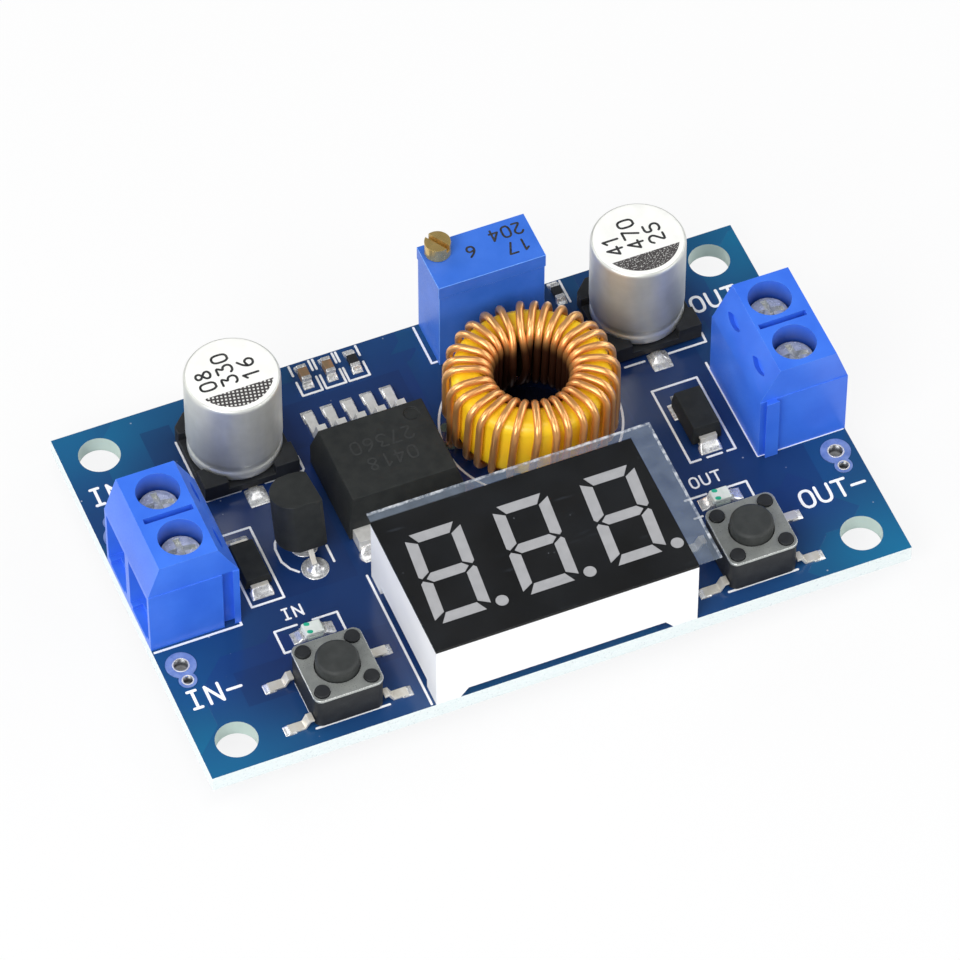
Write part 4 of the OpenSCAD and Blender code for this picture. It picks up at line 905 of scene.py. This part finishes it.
CAN_MARKS = (("input", "stripe_grid", ("08", "330", "16")), ("output", "stripe_specks", ("41", "470", "25")))
for end, ink, lines in CAN_MARKS:
    node = f"{end}_capacitor_can"
    x, y = middle(node)[:2] / MM
    half_moon(f"{end}_can_stripe", node, ink)
    marks = []
    for k, line in enumerate(lines):
        marks += lettering(line, x - 1.6 + 1.85 * k, y - 0.9, 1.3, 0.3, 90)
    printed(f"{end}_can_numbers", marks, 0.2, box(node)[1][2] - SINK, "ink_black")

chip_at = middle("converter_chip_body") / MM
chip_marks = lettering("27360", chip_at[0] + 2.6, chip_at[1] + 1.6, 1.25, 0.3, 180)
chip_marks += lettering("0418", chip_at[0] + 2.2, chip_at[1] - 0.4, 1.25, 0.3, 180)
laser_z = box("converter_chip_body")[1][2] - 0.012 * MM
printed("chip_numbers", chip_marks, 0.16, laser_z, "laser_grey")
corner_x, corner_y, trim_top = box_mm("trimmer_housing")[1]
trim_marks = lettering("204", corner_x - 0.7, corner_y - 0.7, 1.15, 0.3, 180)
trim_marks += lettering("17", corner_x - 0.9, corner_y - 2.5, 1.15, 0.3, 180)
trim_marks += lettering("6", corner_x - 5.2, corner_y - 1.6, 1.1, 0.3, 180)
printed("trimmer_numbers", trim_marks, 0.18, trim_top * MM - SINK, "ink_black")
print("strokes of numbers:", len(marks), len(chip_marks), len(trim_marks))

# %% [markdown]
# ## The display's film
# The window still wears its thin clear film. Over the window it is nearly unseen. Where it stands out
# past the window it is a bluish haze with fine scratches and dust, and a torn white rim that is partly
# the film's frosted edge and partly painted highlight. It could be made with a glass shader, but a share
# of see-through surface is enough for so thin a sheet.

# %% Hazy clear film
# the width of the white rim, which is partly frosted film and partly painted highlight
RIM_W = 0.22                        # millimetres


def film_material():
    """Opacity = haze everywhere + cloud on the free strips + a share of the white marks."""
    n = Nodes("clear_film")
    x, y, _ = n.xyz()

    def past(corner, inset_mm):
        """1 on the strips to the right of the corner or behind it."""
        beyond = [n.math("GREATER_THAN", v, float(c) - inset_mm * MM) for v, c in zip((x, y), corner)]
        return n.math("MAXIMUM", *beyond)

    free = past(box("display_face")[1], 0)
    # the white rim along the back and right edges: partly frosted film, partly painted highlight
    rim = n.math("MULTIPLY", past(box("display_film")[1], RIM_W), n.blotches(0.5, 3, 0.35, 0.65))
    dust = n.math("MULTIPLY", n.specks(0.9, 0.02, 0.07), n.blotches(1.5, 2, 0.56, 0.62))
    scratch = n.blotches(1.6, 2, 0.69, 0.75, 0.0, 0.07, (0.35, 2.2, 1))
    marks = n.math("MAXIMUM", n.math("MAXIMUM", dust, scratch), rim)
    cloud = n.math("MULTIPLY", free, n.blotches(1.5, 4, 0.3, 0.7, 0.15, 0.30))
    haze = n.math("ADD", n.blotches(5, 3, 0.3, 0.7, 0.002, 0.01), cloud)
    n.paint(n.mix(marks, (0.27, 0.33, 0.42), (0.85, 0.88, 0.92)))
    n.link(n.math("ADD", haze, n.math("MULTIPLY", marks, 0.3), True), n.shader.inputs["Alpha"])
    n.constants(Roughness=0.2)
    n.bump(n.noise(2.0, 2), 6)


film_material()
dress("display_film", "clear_film")
print("film, mm:", (size("display_film") / MM).round(2))

# %% [markdown]
# ## Solder
# Molten solder climbs the end and the sides of a lead and runs out thin over its pad, so its surface is
# hollow, not domed. Each joint is a height over its pad that falls ever more gently away from the lead.
# It is worked out on a grid and closed below, and all the joints make one piece.

# %% One joint as a closed section carried across the pad
JOINT_COLS, JOINT_ROWS = 22, 18


def joint_points(x, y, turn, lead_half, half_width, reach, back, height, fall, thin=0.07):
    """Height = thin * edge + height * max(0, 1 - distance / fall)^2, distance from the lead's outline.

    The pad spans back..reach along the lead and half_width to each side. edge goes to 0 at its rim. A row
    is the top from back to reach and then the flat underside, so each row is a closed section.
    """
    u = np.linspace(-1, 1, JOINT_COLS)[:, None]
    v = np.linspace(-1, 1, JOINT_ROWS)[None, :]
    u, v = np.sin(u * math.pi / 2), np.sin(v * math.pi / 2)
    across, along = u * half_width * (1 - 0.06 * v ** 2), (reach - back) / 2 * v + (reach + back) / 2
    away = np.hypot(np.maximum(np.abs(across) - lead_half, 0), np.maximum(along, 0))
    edge = (1 - u ** 8) * (1 - v ** 8)
    h = thin * edge ** 0.5 + height * np.maximum(0, 1 - away / fall) ** 2 * edge ** 0.3
    c, s = math.cos(math.radians(turn)), math.sin(math.radians(turn))
    across, along = np.broadcast_arrays(across, along)
    top = np.stack([x + c * along - s * across, y + s * along + c * across, BOARD_TOP / MM - 0.01 + h], -1)
    under = top[:, ::-1].copy()
    under[..., 2] = BOARD_TOP / MM - 0.02
    return np.concatenate([top, under], 1) * MM


def together(name, meshes):
    """One mesh out of several."""
    work = bmesh.new()
    for mesh in meshes:
        work.from_mesh(mesh)
    mesh = bpy.data.meshes.new(name)
    work.to_mesh(mesh)
    work.free()
    return mesh


# %% Every joint on the upper face
# In each row the numbers are millimetres: half width of the lead and of the pad, how far the pad reaches
# out and back from the lead's end, and the height, the fall and the thickness at the rim.
def ends_along_y(node, lead_half, half_width, reach, back, height, fall):
    """Joints at the front and back ends of a CAD node's leads."""
    low, high = box_mm(node)
    x = (low[0] + high[0]) / 2
    return [joint_points(x, y, turn, lead_half, half_width, reach, back, height, fall)
            for y, turn in ((low[1], -90), (high[1], 90))]


joints = []
for end in ENDS:
    joints += ends_along_y(f"{end}_capacitor_leads", 0.35, 0.9, 1.15, -0.75, 0.26, 0.7)
    joints += ends_along_y(f"{end}_diode_leads", 0.72, 0.98, 0.75, -0.1, 0.62, 0.95)
    low, high = box_mm(f"{end}_switch_legs")
    for x, turn in ((low[0], 180), (high[0], 0)):
        for y in (low[1] + 0.43, high[1] - 0.43):
            joints.append(joint_points(x, y, turn, 0.36, 0.52, 0.42, -0.55, 0.16, 0.5, 0.05))
low, high = box_mm("output_diode_leads")
joints.append(joint_points(low[0] + 0.1, high[1] - 0.9, 180, 0.6, 0.9, 0.9, -0.5, 0.45, 0.9))
low, high = box_mm("converter_chip_leads")
for x in np.linspace(low[0] + 0.4, high[0] - 0.4, 5):
    joints.append(joint_points(x, high[1], 90, 0.4, 0.55, 0.5, -0.8, 0.22, 0.5, 0.06))
low, high = box_mm("converter_chip_tab")
tab_half = (high[0] - low[0]) / 2
joints.append(joint_points(low[0] + tab_half, low[1], -90, tab_half, tab_half + 0.2, 1.2, -0.1, 0.8, 1.1))
low, high = box_mm("led_bases")
LAMP_L = 1.3                        # millimetres, one lamp at each end of the node's box
lamp_marks = []
for x0, x1 in ((low[0], low[0] + LAMP_L), (high[0] - LAMP_L, high[0])):
    for x, turn in ((x0 - 0.35, 180), (x1 + 0.35, 0)):
        joints.append(joint_points(x, (low[1] + high[1]) / 2, turn, 0.45, 0.62, 0.85, -0.05, 0.36, 0.85))
    lamp_marks += [[(x0 + 0.2, high[1] - down), (x0 + 0.35, high[1] - down - 0.05)] for down in (0.2, 1.0)]
printed("lamp_marks", lamp_marks, 0.34, box("led_lenses")[1][2] - SINK, "led_mark")
# The middles of the ceramic capacitors and resistors.
SMALL_PARTS = ((-8.763, 16.8), (-6.613, 16.8), (-4.413, 16.8), (14.097, 17.1))
for x, y in SMALL_PARTS:
    for side in (-1, 1):
        joints.append(joint_points(x, y + side * 0.8, 90 * side, 0.38, 0.48, 0.5, -0.05, 0.42, 0.55))
grids = [grid_mesh("joint", points, close_v=True, caps=True) for points in joints]
add_piece("solder_joints", outward(together("solder_joints", grids)), "solder", ["top_solder"])
print("joints:", len(joints))

# %% [markdown]
# ## Round joints and plated holes
# The regulator's leads go through the board, so each has a round pad with a cone of solder. The holes for
# heavier wire are lined with a tinned barrel, whose rim shows bright inside a translucent blue ring. The
# barrel's inner wall is dark, a painted shade for the little light that gets into the hole.

# %% Cones and barrels
def round_joint(x, y, pad_r, top_r, height):
    """Height over r from the pad's rim to the lead: 0.05 + height * ((pad_r - r) / (pad_r - top_r))^3."""
    t = np.linspace(0, 1, 12)
    cone = np.stack([pad_r + (top_r - pad_r) * t, 0.05 + height * t ** 3], -1)
    profile = np.concatenate([[(0, -0.02), (pad_r, -0.02)], cone, [(0, height + 0.07)]]) * MM
    return turned(profile, (x * MM, y * MM, BOARD_TOP), 48)


lead_low, lead_high = box_mm("regulator_leads")
lead_x = (lead_low[0] + lead_high[0]) / 2
for k, y in enumerate(np.linspace(lead_low[1] + 0.22, lead_high[1] - 0.22, 3)):
    add_piece(f"regulator_joint_{k}", round_joint(lead_x, y, 1.15, 0.3, 0.5), "solder")

VIA_Y = box_mm("wire_pads")[1][1] - 0.755           # the small hole's ring ends the node
HOLES = [(28.8, 7.05, 0.625), (28.8, VIA_Y, 0.425)]     # x, y and radius, once for each corner
BARREL_WALL, BARREL_GAP = 0.05, 0.004
RIM_MIDDLE, RIM_HALF_W, RIM_HALF_H = 0.03, 0.06, 0.02   # the rim's section is a flat ellipse
barrels, rims = [], []
low_z, high_z = (corner[2] for corner in box_mm("wire_pads"))
for x, y, r in [(sx * x, sy * y, r) for x, y, r in HOLES for sx in (-1, 1) for sy in (-1, 1)]:
    at = (x * MM, y * MM, 0)
    wall = [(r - BARREL_WALL, low_z), (r - BARREL_WALL, high_z - 0.02), (r - BARREL_GAP, high_z - 0.02),
            (r - BARREL_GAP, low_z), (r - BARREL_WALL, low_z)]
    barrels.append(turned(np.array(wall) * MM, at, 40))
    t = np.linspace(0, 2 * math.pi, 9)
    bead = np.stack([r + RIM_MIDDLE + RIM_HALF_W * np.cos(t), high_z + RIM_HALF_H * np.sin(t)], -1)
    rims.append(turned(bead * MM, at, 40))
# painted shade: the barrels' walls take a dark tin colour
add_piece("hole_barrels", together("hole_barrels", barrels), "barrel_tin_painted_shade")
add_piece("hole_rims", together("hole_rims", rims), "tinned_leads")
dress("wire_pads", "pad_ring")
print("lined holes:", len(barrels))

# %% [markdown]
# ## Floor, light and camera
# The object stands on a plain white sweep. The floor's colour is white to the camera and to mirrors, and
# an ordinary pale surface to everything else, so that it keeps a soft shadow without throwing more
# light on the object. Five broad area lamps give the soft highlights of a light tent.

# %% A pale floor that keeps the shadow
WHITE_SHARE = 0.86                  # of pure white in what the camera sees, and the rest keeps the shadow
FLOOR_HALF = 1.2                    # metres
FLOOR_BELOW = 0.0002                # metres under the lowest point of the object


def floor_material():
    """A pale matt surface, mixed with white for camera, glossy and transmission rays."""
    n = Nodes("floor_white")
    n.constants(Base_Color=(0.8, 0.8, 0.8, 1), Roughness=0.9, Specular_IOR_Level=0.0)
    white = n.add("ShaderNodeEmission")
    white.inputs["Color"].default_value = (1, 1, 1, 1)
    ray = n.add("ShaderNodeLightPath").outputs
    seen = n.math("MAXIMUM", ray["Is Camera Ray"], ray["Is Glossy Ray"])
    seen = n.math("MAXIMUM", seen, ray["Is Transmission Ray"])
    blend = n.add("ShaderNodeMixShader")
    n.link(n.math("MULTIPLY", seen, WHITE_SHARE), blend.inputs[0])
    n.link(n.shader.outputs[0], blend.inputs[1])
    n.link(white.outputs[0], blend.inputs[2])
    n.link(blend.outputs[0], n.tree.nodes["Material Output"].inputs["Surface"])


def floor_sheet(steps=25):
    """A flat grid that lies just under the lowest point of the object."""
    u = np.linspace(-FLOOR_HALF, FLOOR_HALF, steps)
    x, y = np.meshgrid(u, u, indexing="ij")
    z = np.full_like(x, cad_box[0][2] - FLOOR_BELOW)
    return grid_mesh("floor", np.stack([x, y, z], -1))


floor_material()
floor_mesh = floor_sheet()
floor_mesh.materials.append(MATERIALS["floor_white"])
floor = new_object("floor", floor_mesh)
print("floor, m:", 2 * FLOOR_HALF, "square")


# %% Light tent
# Each row: name, azimuth and elevation in degrees, width and height in metres, and watts.
LAMPS = (
    ("key", -50, 38, 0.4, 0.4, 3.0),
    ("fill", 45, 30, 0.4, 0.4, 1.3),
    ("back_left", -130, 30, 0.4, 0.3, 1.2),
    ("back_right", 100, 30, 0.4, 0.3, 0.9),
    ("top", 0, 88, 0.28, 0.28, 0.6),
)
LAMP_DISTANCE = 0.6                 # metres
SKY, SKY_STRENGTH = (0.92, 0.95, 1.0, 1), 0.16


def lamp(name, azimuth, elevation, width, height, watts):
    """An area lamp on a sphere round the object's middle, turned to face it."""
    a, e = math.radians(azimuth), math.radians(elevation)
    away = np.array([math.cos(e) * math.sin(a), -math.cos(e) * math.cos(a), math.sin(e)])
    data = bpy.data.lights.new(name, "AREA")
    data.shape = "RECTANGLE"
    data.size, data.size_y = width, height
    data.energy = watts
    light = new_object(name, data)
    light.location = away * LAMP_DISTANCE
    light.rotation_euler = (math.radians(90) - e, 0, a)


for row in LAMPS:
    lamp(*row)
world = bpy.data.worlds.new("tent")
bpy.context.scene.world = world
world.use_nodes = True
nodes, link = world.node_tree.nodes, world.node_tree.links.new
sky = nodes["Background"]
sky.inputs["Color"].default_value = SKY
sky.inputs["Strength"].default_value = SKY_STRENGTH
white = nodes.new("ShaderNodeBackground")
white.inputs["Strength"].default_value = 1.0
ray = nodes.new("ShaderNodeLightPath")
blend = nodes.new("ShaderNodeMixShader")
link(ray.outputs["Is Camera Ray"], blend.inputs[0])
link(sky.outputs[0], blend.inputs[1])
link(white.outputs[0], blend.inputs[2])
link(blend.outputs[0], nodes["World Output"].inputs["Surface"])
print("lamps:", len(LAMPS))

# %% Camera
CAMERA_AT = (-0.140662, -0.342358, 0.479191)        # metres
CAMERA_TURN = -22.35                # degrees, to the side and down
CAMERA_DOWN = 52.03
CAMERA_LENS = 276.36                # millimetres, over a sensor of the usual width
camera_data = bpy.data.cameras.new("camera")
camera_data.lens = CAMERA_LENS
camera_data.sensor_width = 36
camera_data.clip_start = 0.01
camera = new_object("camera", camera_data)
camera.location = CAMERA_AT
camera.rotation_euler = (math.radians(90 - CAMERA_DOWN), 0, math.radians(CAMERA_TURN))
bpy.context.scene.camera = camera
bpy.context.scene.view_settings.view_transform = "Standard"
print("camera at, m:", CAMERA_AT)

# %% Size of the CAD box
print("CAD box, mm:", [[round(v / MM, 2) for v in corner] for corner in cad_box])
